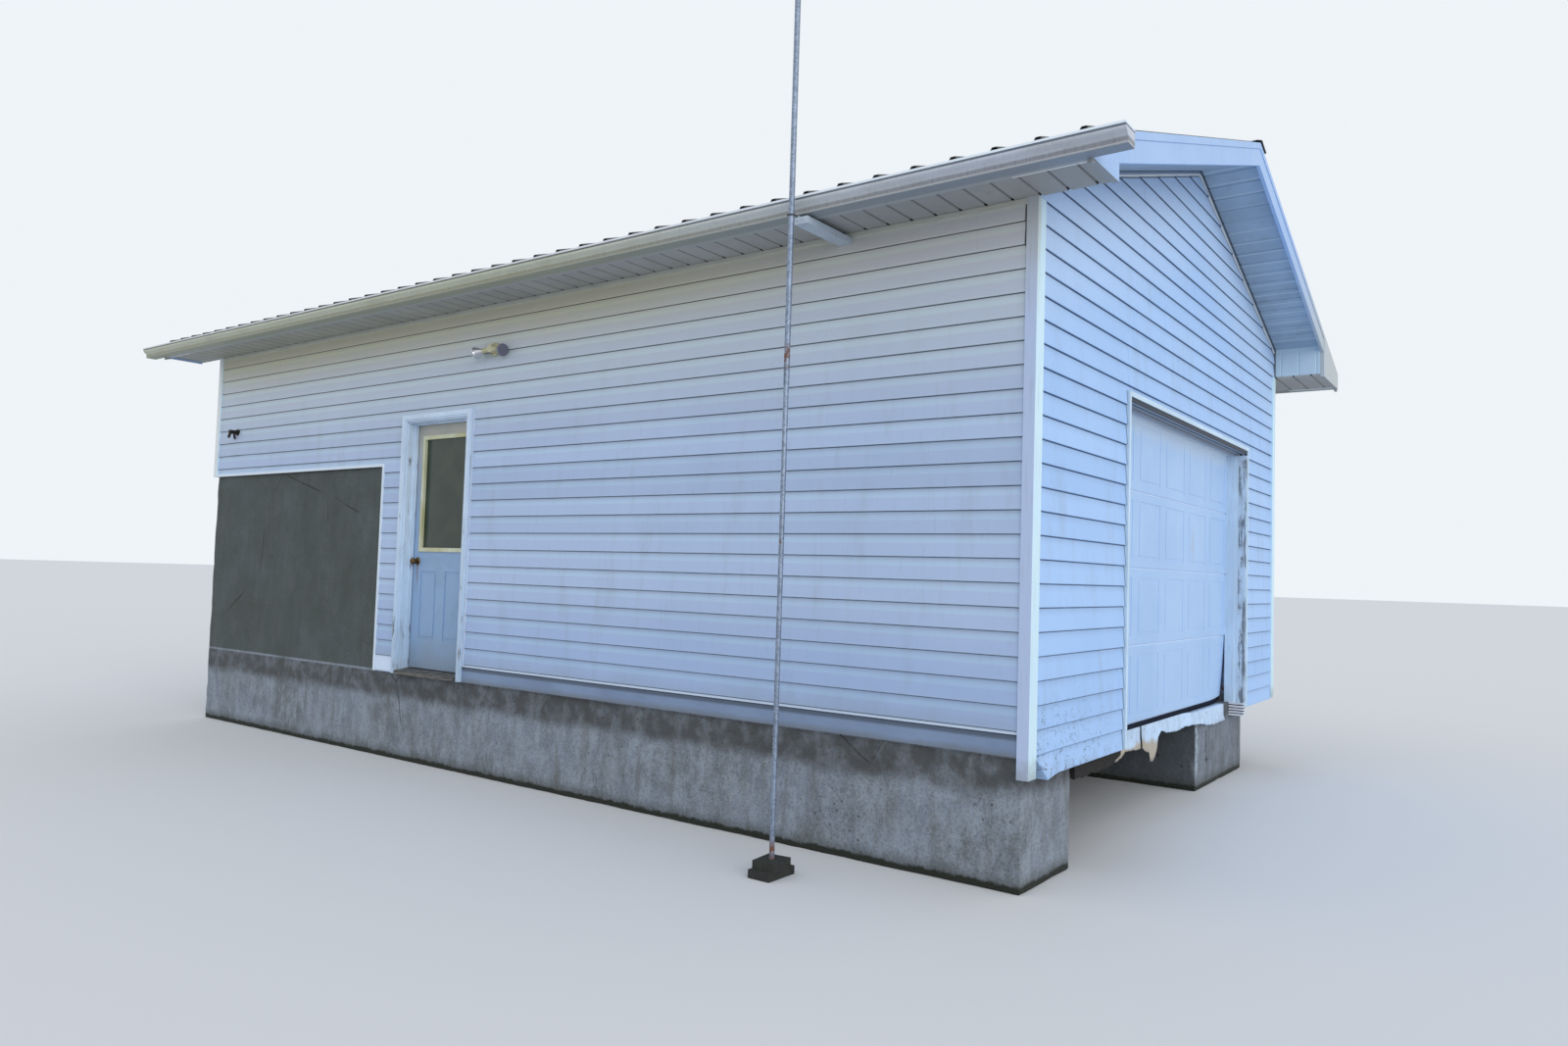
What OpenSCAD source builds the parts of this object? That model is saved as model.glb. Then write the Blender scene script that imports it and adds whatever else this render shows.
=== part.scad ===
// Lakeside boathouse: framed building with lap siding on a concrete boat slip.
// X runs across the gables, Y from the lake end to the back, Z up from the water line.

/* [Building] */
// Width over the siding
width = 5700; // [4700:10:7000]
// Length over the siding
length = 8770; // [7200:10:11000]
// Roof rise in 12
rise_in_12 = 4; // [3:0.1:6]
// Height of the eave soffits above the ledges
eave_up = 2920; // [2430:5:3600]
// Depth of the eave fascias
fascia_h = 148; // [120:1:200]
// Eave overhang on the man-door side
eave_out = 360; // [200:5:600]
// Eave overhang on the far side
far_eave_out = 760; // [300:5:950]
// Rake overhang at both gables
rake_out = 420; // [200:5:600]

/* [Foundation] */
// Top of the ledges round the boat slip
ledge_z = 700; // [400:5:1200]
// Reach of the right ledge in under the boat door
ledge_under_door = 1024; // [600:2:1400]
// Clear width of the boat slip
slip_w = 2850; // [2300:10:3000]
// Depth of the ledge at the back of the slip
ledge_back = 1320; // [1000:10:2000]
// Set back of the left pier face
pier_left_set = 40; // [20:5:80]
// Set back of the right pier face
pier_right_set = 120; // [60:5:150]
// Width of the right pier nose
pier_nose_w = 1450; // [1100:10:1750]
// Depth of the right pier nose
pier_nose_l = 480; // [300:10:700]
// Depth of the seat cut into the ledge under the boat door
seat_down = 80; // [60:5:120]
// Height of the raised concrete above the ledges
raised_up = 1710; // [1200:10:2060]
// Distance from the man door's frame to the step in the concrete
raised_past_door = 322; // [80:2:600]
// Thickness of the raised concrete wall
raised_t = 200; // [160:5:260]
// Set back of the concrete faces from the siding
concrete_set = 25; // [20:1:35]

/* [Walls] */
// Thickness of the framed walls with sheathing
wall_t = 120; // [100:5:160]
// Room left for the siding outside the framed wall
siding_t = 18; // [14:1:20]
// Face width of the corner posts on the sides
post_side_w = 64; // [50:1:100]
// Face width of the corner posts on the gables
post_gable_w = 105; // [80:1:140]
// How far corner posts stand outside the siding
post_out = 6; // [4:1:10]
// How far the front corner posts hang below the ledges
post_down = 110; // [60:5:130]
// Height of the skirt under the side siding
skirt_h = 115; // [90:5:160]

/* [Man door] */
// Hinge-side jamb face, measured from the lake end
door_from = 4694; // [2000:2:4700]
// Width of the door slab
slab_w = 762; // [610:2:920]
// Height of the door slab
slab_h = 2000; // [1660:5:2100]
// Thickness of the door slab
slab_t = 44; // [38:1:50]
// Running gap round the slab
door_gap = 6; // [6:1:8]
// Thickness of the jambs
jamb_t = 32; // [28:1:40]
// Width of the outer casing
casing_w = 50; // [40:1:60]
// How far the casing stands outside the siding
casing_out = 26; // [20:1:35]
// Height of the sill
sill_h = 43; // [35:1:50]
// Width of the slab left beside the glazed lite
lite_side = 76; // [60:1:110]
// Height of the slab left over the glazed lite
lite_over = 95; // [70:1:140]
// Height of the lite frame above the slab's foot
lite_up = 950; // [900:5:1100]
// Face width of the lite frame
lite_rim = 32; // [26:1:40]
// Knob height above the slab's foot
knob_up = 870; // [850:5:900]
// Knob distance from the slab's free edge
knob_in = 62; // [60:1:70]

/* [Boat door] */
// Clear width between the wooden jambs
boat_w = 3048; // [2440:12:3660]
// Gap between the seat and the bottom section, closed by the seal
seal_h = 38; // [15:1:45]
// Height of one section
section_h = 529; // [440:1:556]
// Raised panels in one section
panels = 5; // [3:1:6]
// Thickness of the sections
section_t = 42; // [38:1:50]
// Thickness of the jamb boards
board_t = 26; // [20:1:38]
// Thickness of the stop strips on the jamb boards
stop_t = 14; // [10:1:20]
// Depth of the stop strips
stop_deep = 77; // [40:1:100]

/* [Roof and eaves] */
// Thickness of the roof sheets
sheet_t = 4; // [3:1:6]
// Height of the sheet ribs
rib_h = 19; // [12:1:25]
// Spacing of the sheet ribs
rib_step = 229; // [200:1:305]
// How far the sheets run past the eave fascia
sheet_lap = 28; // [15:1:40]
// Leg width of the ridge cap
cap_leg = 150; // [120:5:200]
// Purlin thickness
purlin_t = 38; // [30:1:40]
// Purlin width
purlin_w = 89; // [80:1:100]
// Rafter depth
rafter_d = 89; // [80:1:95]
// Rafter and joist thickness
rafter_t = 38; // [35:1:45]
// Number of rafter pairs
rafter_pairs = 6; // [4:1:8]
// Thickness of the fascia boards
fascia_t = 25; // [20:1:30]
// Depth of the rake fascia below the sheets
rake_depth = 170; // [150:5:200]
// Width of the rake trims
drip_w = 45; // [30:1:60]
// How far the rake trims stand up beside the sheets
trim_up = 11; // [6:1:14]
// Thickness of the soffit panels
soffit_t = 12; // [8:1:14]
// Gutter width at the top
gutter_w = 127; // [110:1:140]
// Gutter height
gutter_h = 92; // [80:1:100]
// How far the gutter runs past the rake fascias
gutter_past = 200; // [100:5:250]

/* [Mast] */
// Distance of the mast from the lip of the gutter
mast_out_of_gutter = 53; // [40:1:120]
// Distance of the mast from the lake end
mast_y = 1200; // [600:10:3800]
// Height of the mast above the eave soffit
mast_up = 1530; // [900:10:2400]
// Radius of the upper pipe
mast_r = 16; // [15:1:20]
// Gap between the bracket arm and the soffit
arm_gap = 30; // [20:1:60]
// Side of the larger foot block
block_w = 230; // [200:5:260]
// Height of one foot block
block_h = 45; // [35:1:60]

/* [Hidden] */
$fn = 48;
seat = 0.3;
cut = 1;
pitch = rise_in_12 / 12;
slope = atan(pitch);
mast_out = eave_out + gutter_w + mast_out_of_gutter;
reach_left = mast_out + block_w / 2;
reach_right = far_eave_out + sheet_lap;
x_left = (reach_left - width - reach_right) / 2;
x_right = x_left + width;
y_front = -length / 2;
y_back = length / 2;

// levels: the two eave tips are level, which puts the ridge halfway between them
fascia_lip = 15;
soffit_z = ledge_z + eave_up;
fascia_foot = soffit_z - fascia_lip;
trim_rise = trim_up / cos(slope);
x_ridge = (x_left - eave_out + x_right + far_eave_out) / 2;
ridge_z = fascia_foot + fascia_h - trim_rise + (x_ridge - x_left + eave_out) * pitch;
raised_z = ledge_z + raised_up;

// framed wall faces
wx0 = x_left + siding_t;
wx1 = wx0 + wall_t;
wx3 = x_right - siding_t;
wx2 = wx3 - wall_t;
wy0 = y_front + siding_t;
wy1 = wy0 + wall_t;
wy3 = y_back - siding_t;
wy2 = wy3 - wall_t;

// roof heights, all measured from the underside of the sheets
sheet_drop = seat / cos(slope);
purlin_drop = (purlin_t + 2 * seat) / cos(slope);
rafter_drop = (purlin_t + 2 * seat + rafter_d) / cos(slope);
seat_cut = 25;
rake_soffit_drop = 101;
function roof_z(x) = ridge_z - abs(x - x_ridge) * pitch;
plate_left = roof_z(wx0) - rafter_drop + seat_cut;
plate_right = roof_z(wx3) - rafter_drop + seat_cut;
eave_x0 = x_left - eave_out;
eave_x1 = x_right + far_eave_out;
rake_y0 = y_front - rake_out;
rake_y1 = y_back + rake_out;

// foundation
slip_x1 = x_ridge + boat_w / 2 - ledge_under_door;
slip_x0 = slip_x1 - slip_w;
slip_y = y_back - ledge_back;
fx0 = x_left + concrete_set;
fx1 = x_right - concrete_set;
fy1 = y_back - concrete_set;
seat_z = ledge_z - seat_down;

// man door, hinge side towards the lake
dy0 = y_front + door_from;
dy1 = dy0 + slab_w + 2 * door_gap;
sill_play = 7;
door_z0 = ledge_z + sill_h + sill_play;
head_z = door_z0 + slab_h + door_gap;
rough_y0 = dy0 - jamb_t;
rough_y1 = dy1 + jamb_t;
rough_z = head_z + jamb_t;
step_y = rough_y1 + raised_past_door;
slab_x1 = wx1;
slab_x0 = slab_x1 - slab_t;
slab_y0 = dy0 + door_gap;
slab_y1 = slab_y0 + slab_w;
reveal = 12;
casing_outer = reveal + casing_w;
stop_w = 12;
knuckle_r = 6;
pin_r = 3;
pin_play = 0.1;
knuckle_h = 33;
knuckle_play = 0.3;
leaf_t = 2;
web_t = 3;
hinge_x = wx1 + knuckle_r + leaf_t;
hinge_y = dy0 + door_gap / 2;
hinge_h = 100;
hinge_ups = [180, 950, 1720];
lite_w = slab_w - 2 * lite_side;
lite_h = slab_h - lite_up - lite_over;
lite_y0 = slab_y0 + lite_side;
lite_z0 = door_z0 + lite_up;
lite_lip = 9;
lite_proud = 10;

// boat door
sections = 4;
seat_play = 3;
boat_x0 = x_ridge - boat_w / 2;
boat_x1 = boat_x0 + boat_w;
rough_x0 = boat_x0 - board_t;
rough_x1 = boat_x1 + board_t;
boat_z = seat_z + seat_play + seal_h;
boat_top = boat_z + sections * section_h;
head_cover = 7;
boat_head = boat_top - head_cover;
jamb_past_wall = 20;
jamb_y1 = wy1 + jamb_past_wall;
section_y1 = jamb_y1 + section_t;
trim_w = 32;
panel_step = boat_w / panels;
stile_w = 136;
rail_h = 130;
panel_w = panel_step - stile_w;
panel_h = section_h - rail_h;

// mast
mast_x = x_left - mast_out;
mast_yy = y_front + mast_y;
mast_top = soffit_z + mast_up;
arm_t = 38;
arm_w = 89;
arm_from_mast = 95;
arm_x0 = mast_x + arm_from_mast;
arm_z = soffit_z - arm_gap - arm_t;

// block between two opposite corners
module block(a, b) {
    translate(a) cube([b[0] - a[0], b[1] - a[1], b[2] - a[2]]);
}

// outline in X and Z, extruded along Y from y0 to y1
module along_y(y0, y1) {
    translate([0, y1, 0]) rotate([90, 0, 0]) linear_extrude(y1 - y0) children();
}

// repeats its children at the other gable
module both_gables() {
    children();
    mirror([0, 1, 0]) children();
}

// points of a line that follows the roof at a given drop, from x0 over the ridge to x1
function under_roof(x0, x1, drop) = [
    [x0, roof_z(x0) - drop],
    [x_ridge, ridge_z - drop],
    [x1, roof_z(x1) - drop]
];
function backwards(v) = [for (i = [len(v) - 1 : -1 : 0]) v[i]];

// Foundation: concrete ledges that stand in the water, with a raised wall at the bank

module foundation_left() {
    color("gray") union() {
        block([fx0, y_front + pier_left_set, 0], [slip_x0, slip_y, ledge_z]);
        block([fx0, slip_y, 0], [slip_x0, fy1, ledge_z]);
        block([fx0, step_y, ledge_z], [fx0 + raised_t, fy1, raised_z]);
    }
}

module foundation_right() {
    nose_x1 = slip_x1 + pier_nose_w;
    nose_y0 = y_front + pier_right_set;
    nose_y1 = nose_y0 + pier_nose_l;
    seat_past_door = 60;
    color("gray") difference() {
        union() {
            block([slip_x1, nose_y0, 0], [nose_x1, nose_y1, ledge_z]);
            block([slip_x1, nose_y1, 0], [fx1, fy1, ledge_z]);
            block([fx1 - raised_t, step_y, ledge_z], [fx1, fy1, raised_z]);
        }
        block([slip_x1 - cut, nose_y0 - cut, seat_z],
              [rough_x1, section_y1 + seat_past_door, ledge_z + cut]);
    }
}

module foundation_back() {
    color("gray") union() {
        block([slip_x0, slip_y, 0], [slip_x1, fy1, ledge_z]);
        block([fx0 + raised_t, fy1 - raised_t, ledge_z], [fx1 - raised_t, fy1, raised_z]);
    }
}

// Framed walls, split beside and over the two doorways

module left_wall_front() {
    color("burlywood") block([wx0, wy1, ledge_z], [wx1, rough_y0, plate_left]);
}

module left_wall_over_door() {
    color("burlywood") block([wx0, rough_y0, rough_z], [wx1, rough_y1, plate_left]);
}

module left_wall_middle() {
    color("burlywood") block([wx0, rough_y1, ledge_z], [wx1, step_y, plate_left]);
}

module left_wall_back() {
    color("burlywood") block([wx0, step_y, raised_z], [wx1, wy2, plate_left]);
}

module right_wall_front() {
    color("burlywood") block([wx2, wy1, ledge_z], [wx3, step_y, plate_right]);
}

module right_wall_back() {
    color("burlywood") block([wx2, step_y, raised_z], [wx3, wy2, plate_right]);
}

// gable wall from a level foot up to the underside of the purlins
module gable_wall(foot, y0, y1) {
    along_y(y0, y1)
        polygon(concat([[wx3, foot], [wx0, foot]], under_roof(wx0, wx3, purlin_drop)));
}

module back_wall() {
    color("burlywood") gable_wall(raised_z, wy2, wy3);
}

module front_gable() {
    color("burlywood") gable_wall(boat_head + board_t, wy0, wy1);
}

module front_wall_left() {
    color("burlywood") block([wx0, wy0, ledge_z], [rough_x0, wy1, boat_head + board_t]);
}

module front_wall_right() {
    color("burlywood") block([rough_x1, wy0, ledge_z], [wx3, wy1, boat_head + board_t]);
}

// Trims of the siding

// L-shaped post that wraps the corner at the given signs of X and Y
module corner_post(x_corner, sx, y_corner, sy, foot) {
    translate([x_corner, y_corner, foot]) mirror([sx < 0 ? 1 : 0, 0, 0]) mirror([0, sy < 0 ? 1 : 0, 0])
        linear_extrude(soffit_z - foot) difference() {
            translate([-post_out, -post_out]) square([post_gable_w, post_side_w]);
            translate([siding_t, siding_t]) square([post_gable_w, post_side_w]);
        }
}

module corner_posts() {
    color("white") {
        corner_post(x_left, 1, y_front, 1, ledge_z - post_down);
        corner_post(x_right, -1, y_front, 1, ledge_z - post_down);
        corner_post(x_left, 1, y_back, -1, raised_z);
        corner_post(x_right, -1, y_back, -1, raised_z);
    }
}

// skirt of bent sheet below the side siding, and the trim where the concrete steps up
module base_trims() {
    hem = 10;
    trim = 24;
    face = 3;
    skirt_y0 = y_front - post_out + post_side_w;
    trim_y1 = y_back + post_out - post_side_w;
    skirt_y1 = dy0 - casing_outer;
    color("white") {
        along_y(skirt_y0, skirt_y1) translate([wx0, ledge_z]) polygon([
            [0, skirt_h], [0, skirt_h - hem], [-siding_t + face, skirt_h - hem],
            [-siding_t + face, face], [0, face], [0, 0], [-siding_t, 0],
            [-siding_t, skirt_h - hem + face], [-face, skirt_h - hem + face], [-face, skirt_h]
        ]);
        translate([x_left - face, 0, 0]) rotate([90, 0, 90]) linear_extrude(siding_t + face) polygon([
            [step_y - trim, ledge_z], [step_y, ledge_z], [step_y, raised_z],
            [trim_y1, raised_z], [trim_y1, raised_z + trim], [step_y - trim, raised_z + trim]
        ]);
    }
}

// Man door: inswing slab on three hinges, in a wooden frame with outer casing

// strip round three sides of the doorway: w inside the jamb faces when negative
module door_surround(x0, x1, inner, outer, foot) {
    difference() {
        block([x0, dy0 - outer, foot], [x1, dy1 + outer, head_z + outer]);
        block([x0 - cut, dy0 - inner, foot - cut], [x1 + cut, dy1 + inner, head_z + inner]);
    }
}

module door_frame() {
    stop_x1 = slab_x0 - door_gap;
    stop_depth = 30;
    casing_x0 = x_left - casing_out;
    rebate_w = 14;
    rebate_t = 8;
    frame_knuckle_h = hinge_h - 2 * knuckle_h - 2 * knuckle_play;
    leaf_w = 26;
    web_y1 = hinge_y - knuckle_r + web_t;
    color("white") union() {
        door_surround(x_left, wx1, 0, jamb_t, ledge_z);
        door_surround(stop_x1 - stop_depth, stop_x1, -stop_w, cut, ledge_z + sill_h);
        difference() {
            door_surround(casing_x0, x_left, reveal, casing_outer, ledge_z);
            door_surround(casing_x0 - cut, casing_x0 + rebate_t, reveal - cut, reveal + rebate_w, 0);
        }
        // middle knuckle of each hinge, bored for the pin, with its leaf on the jamb
        for (up = hinge_ups) translate([0, 0, door_z0 + up + knuckle_h + knuckle_play]) difference() {
            union() {
                translate([hinge_x, hinge_y, 0]) cylinder(r = knuckle_r, h = frame_knuckle_h);
                block([wx1, hinge_y - knuckle_r, 0], [hinge_x, web_y1, frame_knuckle_h]);
                block([wx1, dy0 - leaf_w, 0], [wx1 + leaf_t, web_y1, frame_knuckle_h]);
            }
            translate([hinge_x, hinge_y, -cut])
                cylinder(r = pin_r + pin_play, h = frame_knuckle_h + 2 * cut);
        }
    }
}

module door_sill() {
    lip = 38;
    fall = 16;
    color("dimgray") along_y(dy0, dy1) polygon([
        [x_left - lip, ledge_z], [wx1, ledge_z], [wx1, ledge_z + sill_h],
        [slab_x0 - door_gap, ledge_z + sill_h], [x_left - lip, ledge_z + sill_h - fall]
    ]);
}

module man_door() {
    panel_gap = 110;
    panel_side = 112;
    panel_foot = 240;
    panel_under_lite = 160;
    panel_top = lite_up - panel_under_lite;
    lock_bevel = 2.5;
    leaf_reach = 40;
    upper = hinge_h - knuckle_h;
    web_y0 = hinge_y + knuckle_r - web_t;
    pw = (slab_w - 2 * panel_side - panel_gap) / 2;
    color("gainsboro") union() {
        difference() {
            translate([0, 0, door_z0]) linear_extrude(slab_h) polygon([
                [slab_x0, slab_y0], [slab_x1, slab_y0], [slab_x1, slab_y1], [slab_x0, slab_y1 - lock_bevel]
            ]);
            block([slab_x0 - cut, lite_y0 + lite_lip, lite_z0 + lite_lip],
                  [slab_x1 + cut, lite_y0 + lite_w - lite_lip, lite_z0 + lite_h - lite_lip]);
            for (i = [0, 1], x = [slab_x0, slab_x1])
                translate([x, slab_y0 + panel_side + i * (pw + panel_gap), door_z0 + panel_foot])
                    panel_groove(pw, panel_top - panel_foot);
        }
        // upper and lower knuckle of each hinge with its leaf, and the pin through all three
        for (up = hinge_ups) translate([0, 0, door_z0 + up]) {
            translate([hinge_x, hinge_y, 0]) cylinder(r = pin_r, h = hinge_h + knuckle_r / 2);
            for (z = [0, upper]) {
                translate([hinge_x, hinge_y, z]) cylinder(r = knuckle_r, h = knuckle_h);
                block([slab_x1, web_y0, z], [hinge_x, web_y0 + web_t, z + knuckle_h]);
                block([slab_x1, web_y0, z], [slab_x1 + leaf_t, slab_y0 + leaf_reach, z + knuckle_h]);
            }
        }
    }
}

// square moulded groove round a raised panel, cut to the same depth from either face
module panel_groove(w, h) {
    depth = 6;
    ring = 24;
    difference() {
        translate([-depth, 0, 0]) cube([2 * depth, w, h]);
        translate([-depth - cut, ring, ring]) cube([2 * (depth + cut), w - 2 * ring, h - 2 * ring]);
    }
}

module lite_frame() {
    y1 = lite_y0 + lite_w;
    z1 = lite_z0 + lite_h;
    color("wheat") difference() {
        union() {
            block([slab_x0 - lite_proud, lite_y0, lite_z0], [slab_x0, y1, z1]);
            block([slab_x0, lite_y0 + lite_lip, lite_z0 + lite_lip],
                  [slab_x1, y1 - lite_lip, z1 - lite_lip]);
            block([slab_x1, lite_y0, lite_z0], [slab_x1 + lite_proud, y1, z1]);
        }
        block([slab_x0 - lite_proud - cut, lite_y0 + lite_rim, lite_z0 + lite_rim],
              [slab_x1 + lite_proud + cut, y1 - lite_rim, z1 - lite_rim]);
    }
}

module lite_glass() {
    glass_t = 18;
    x0 = (slab_x0 + slab_x1 - glass_t) / 2;
    color("darkslategray") block([x0, lite_y0 + lite_rim, lite_z0 + lite_rim],
        [x0 + glass_t, lite_y0 + lite_w - lite_rim, lite_z0 + lite_h - lite_rim]);
}

// turned knob on its rose, on both faces
module door_knobs() {
    rose_r = 32;
    rose_t = 9;
    rose_edge = 4;
    neck_r = 12;
    neck_l = 30;
    knob_r = 27;
    knob_l = 62;
    knob_edge = 8;
    knob_x = [slab_x0, slab_x1];
    color("dimgray") for (i = [0, 1])
        translate([knob_x[i], slab_y1 - knob_in, door_z0 + knob_up]) rotate([0, i == 0 ? -90 : 90, 0])
            rotate_extrude() polygon([
                [0, 0], [rose_r, 0], [rose_r, rose_edge], [rose_r - rose_edge, rose_t], [neck_r, rose_t],
                [neck_r, neck_l], [knob_r - rose_edge, neck_l + rose_edge],
                [knob_r, neck_l + 2 * knob_edge], [knob_r, knob_l - knob_edge],
                [knob_r - knob_edge, knob_l], [0, knob_l]
            ]);
}

// Boat door: sectional overhead door behind wooden jamb boards that carry stop strips

module boat_door_frame() {
    board_y0 = y_front - 4;
    color("white") union() {
        difference() {
            block([rough_x0, board_y0, seat_z], [rough_x1, jamb_y1, boat_head + board_t]);
            block([boat_x0, board_y0 - cut, seat_z - cut], [boat_x1, jamb_y1 + cut, boat_head]);
        }
        difference() {
            block([boat_x0, jamb_y1 - stop_deep, seat_z], [boat_x1, jamb_y1, boat_head]);
            block([boat_x0 + stop_t, jamb_y1 - stop_deep - cut, seat_z - cut],
                  [boat_x1 - stop_t, jamb_y1 + cut, boat_head - stop_t]);
        }
    }
}

// white cover trim that closes the siding against the jamb boards
module boat_door_trim() {
    below_seat = 35;
    foot = seat_z - below_seat;
    proud = 12;
    head = boat_head + board_t;
    color("white") difference() {
        block([rough_x0 - trim_w, y_front - proud, foot], [rough_x1 + trim_w, wy0, head + trim_w]);
        block([rough_x0, y_front - proud - cut, foot - cut], [rough_x1, wy0 + cut, head]);
    }
}

// one section with its row of raised panels and a rebated top and bottom edge
module door_section(i) {
    groove = 3;
    ring = 22;
    bevel = 8;
    z0 = boat_z + i * section_h;
    color("white") translate([0, 0, z0]) difference() {
        translate([rough_x0, 0, 0]) rotate([90, 0, 90]) linear_extrude(rough_x1 - rough_x0) polygon([
            [jamb_y1 + bevel, 0], [section_y1, 0], [section_y1, section_h - seat],
            [jamb_y1 + bevel, section_h - seat], [jamb_y1, section_h - bevel], [jamb_y1, bevel]
        ]);
        for (j = [0 : panels - 1])
            translate([boat_x0 + (j + 0.5) * panel_step - panel_w / 2, jamb_y1, (section_h - panel_h) / 2])
                difference() {
                    translate([0, -groove, 0]) cube([panel_w, 2 * groove, panel_h]);
                    translate([ring, -groove - cut, ring])
                        cube([panel_w - 2 * ring, 2 * (groove + cut), panel_h - 2 * ring]);
                }
    }
}

module door_section_1() { door_section(0); }
module door_section_2() { door_section(1); }
module door_section_3() { door_section(2); }
module door_section_4() { door_section(3); }

module boat_door_seal() {
    lip = 12;
    bulge = 4;
    color("black") translate([rough_x0, 0, boat_z - seal_h]) rotate([90, 0, 90])
        linear_extrude(rough_x1 - rough_x0) polygon([
            [jamb_y1 + lip, 0], [section_y1 - lip, 0], [section_y1, seal_h / 2],
            [section_y1, seal_h], [jamb_y1 + 2 * bulge, seal_h], [jamb_y1 + bulge, seal_h / 2]
        ]);
}

// pair of channels that rise beside the door, bend and run back under the joists
module boat_door_tracks() {
    channel = 50;
    flange = 26;
    sheet = 3;
    bend_r = 300;
    hanger_w = 30;
    run_past = 90;
    angle_w = 40;
    track_play = 6;
    bend_over_door = 60;
    hanger_play = 4;
    foot = ledge_z;
    track_y = section_y1 + track_play;
    bend_z = boat_top + bend_over_door;
    track_z = bend_z + bend_r;
    run_y = track_y + channel + bend_r;
    hanger_y = joist_y(2) + hanger_play;
    run = hanger_y + hanger_w + run_past - run_y;
    module profile() {
        difference() {
            square([flange, channel]);
            translate([sheet, sheet]) square([flange, channel - 2 * sheet]);
        }
    }
    module one_track() {
        // upright channel with the angle that fixes it to the wall
        translate([-flange, track_y, foot]) linear_extrude(bend_z - foot) profile();
        block([-flange, wy1, foot], [-flange + sheet, track_y + sheet, bend_z]);
        block([-flange - angle_w, wy1, foot], [-flange, wy1 + sheet, bend_z]);
        // quarter bend
        translate([-flange, run_y, bend_z]) rotate([0, 90, 0]) rotate([0, 0, 180])
            rotate_extrude(angle = 90) translate([bend_r, 0]) rotate(90) mirror([0, 1]) profile();
        // level run and its hanger
        translate([-flange, run_y, track_z])
            rotate([-90, 0, 0]) linear_extrude(run) mirror([0, 1]) profile();
        block([-flange - sheet, hanger_y, track_z], [-flange, hanger_y + hanger_w, plate_left]);
    }
    color("silver") {
        translate([rough_x0, 0, 0]) one_track();
        translate([rough_x1, 0, 0]) mirror([1, 0, 0]) one_track();
    }
}

// Roof frame

// distance between rafter pairs, and the near face of the joist beside one of them
rafter_step = length / (rafter_pairs + 1);
function joist_y(i) = y_front + i * rafter_step + rafter_t / 2;
tail_x0 = eave_x0 + fascia_t;
tail_x1 = eave_x1 - fascia_t;
soffit_top = soffit_z + soffit_t;

module rafters() {
    color("burlywood") for (i = [1 : rafter_pairs])
        along_y(y_front + i * rafter_step - rafter_t / 2, y_front + i * rafter_step + rafter_t / 2)
            difference() {
                polygon(concat(under_roof(tail_x0, tail_x1, purlin_drop),
                               backwards(under_roof(tail_x0, tail_x1, rafter_drop))));
                translate([eave_x0 - cut, 0]) square([eave_x1 - eave_x0 + 2 * cut, soffit_top]);
                translate([wx0, 0]) square([wall_t, plate_left + seat]);
                translate([wx2, 0]) square([wall_t, plate_right + seat]);
            }
}

// ceiling joists beside the rafters, cut to the roof line over the lower wall
module joists() {
    joist_d = 89;
    z0 = plate_left + seat;
    z1 = z0 + joist_d;
    shoulder = x_ridge - (ridge_z - purlin_drop - z1) / pitch;
    color("burlywood") for (i = [1 : rafter_pairs])
        along_y(joist_y(i), joist_y(i) + rafter_t)
            polygon([[wx0, z0], [wx2, z0], [wx2, z1], [max(shoulder, wx0), z1],
                     [wx0, min(roof_z(wx0) - purlin_drop, z1)]]);
}

// Each roof side is built along +X down the slope, from the ridge at the origin
slope_len = (x_ridge - eave_x0) / cos(slope);
module roof_side(left) {
    translate([x_ridge, 0, ridge_z]) mirror([left ? 1 : 0, 0, 0]) rotate([0, slope, 0]) children();
}

purlin_rows = 5;
module purlins() {
    first = 90;
    short_of_fascia = 20;
    last = slope_len - fascia_t / cos(slope) - purlin_w - short_of_fascia;
    step = (last - first) / (purlin_rows - 1);
    color("burlywood") for (left = [false, true]) roof_side(left)
        for (i = [0 : purlin_rows - 1])
            translate([first + i * step, rake_y0 + fascia_t, -purlin_t - seat])
                cube([purlin_w, length + 2 * (rake_out - fascia_t), purlin_t]);
}

// ribbed sheet: trapezoid ribs at even steps, drawn as one band of even thickness
function rib_outline(y, lift, half_foot, half_top) = [
    [y - half_foot, lift], [y - half_top, lift + rib_h], [y + half_top, lift + rib_h], [y + half_foot, lift]
];
module roof_sheet(left) {
    sheet_y0 = rake_y0 + seat;
    sheet_y1 = rake_y1 - seat;
    foot = 26;
    top = 11;
    start = 14;
    edge = 2;
    foot_over = foot + sheet_t / 2;
    first = sheet_y0 + edge + foot_over;
    rib_count = floor((sheet_y1 - edge - foot_over - first) / rib_step) + 1;
    ribs = [for (i = [0 : rib_count - 1]) first + i * rib_step];
    over = [for (y = ribs) each rib_outline(y, sheet_t, foot_over, top + sheet_t / 4)];
    under = [for (i = [rib_count - 1 : -1 : 0])
        each backwards(rib_outline(ribs[i], 0, foot - sheet_t / 2, top - sheet_t / 4))];
    roof_side(left) translate([start, 0, 0]) rotate([90, 0, 90])
        linear_extrude(slope_len + sheet_lap - start)
            polygon(concat([[sheet_y0, sheet_t]], over, [[sheet_y1, sheet_t], [sheet_y1, 0]],
                           under, [[sheet_y0, 0]]));
}

module roof_left() { color("slategray") roof_sheet(true); }
module roof_right() { color("slategray") roof_sheet(false); }

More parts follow.
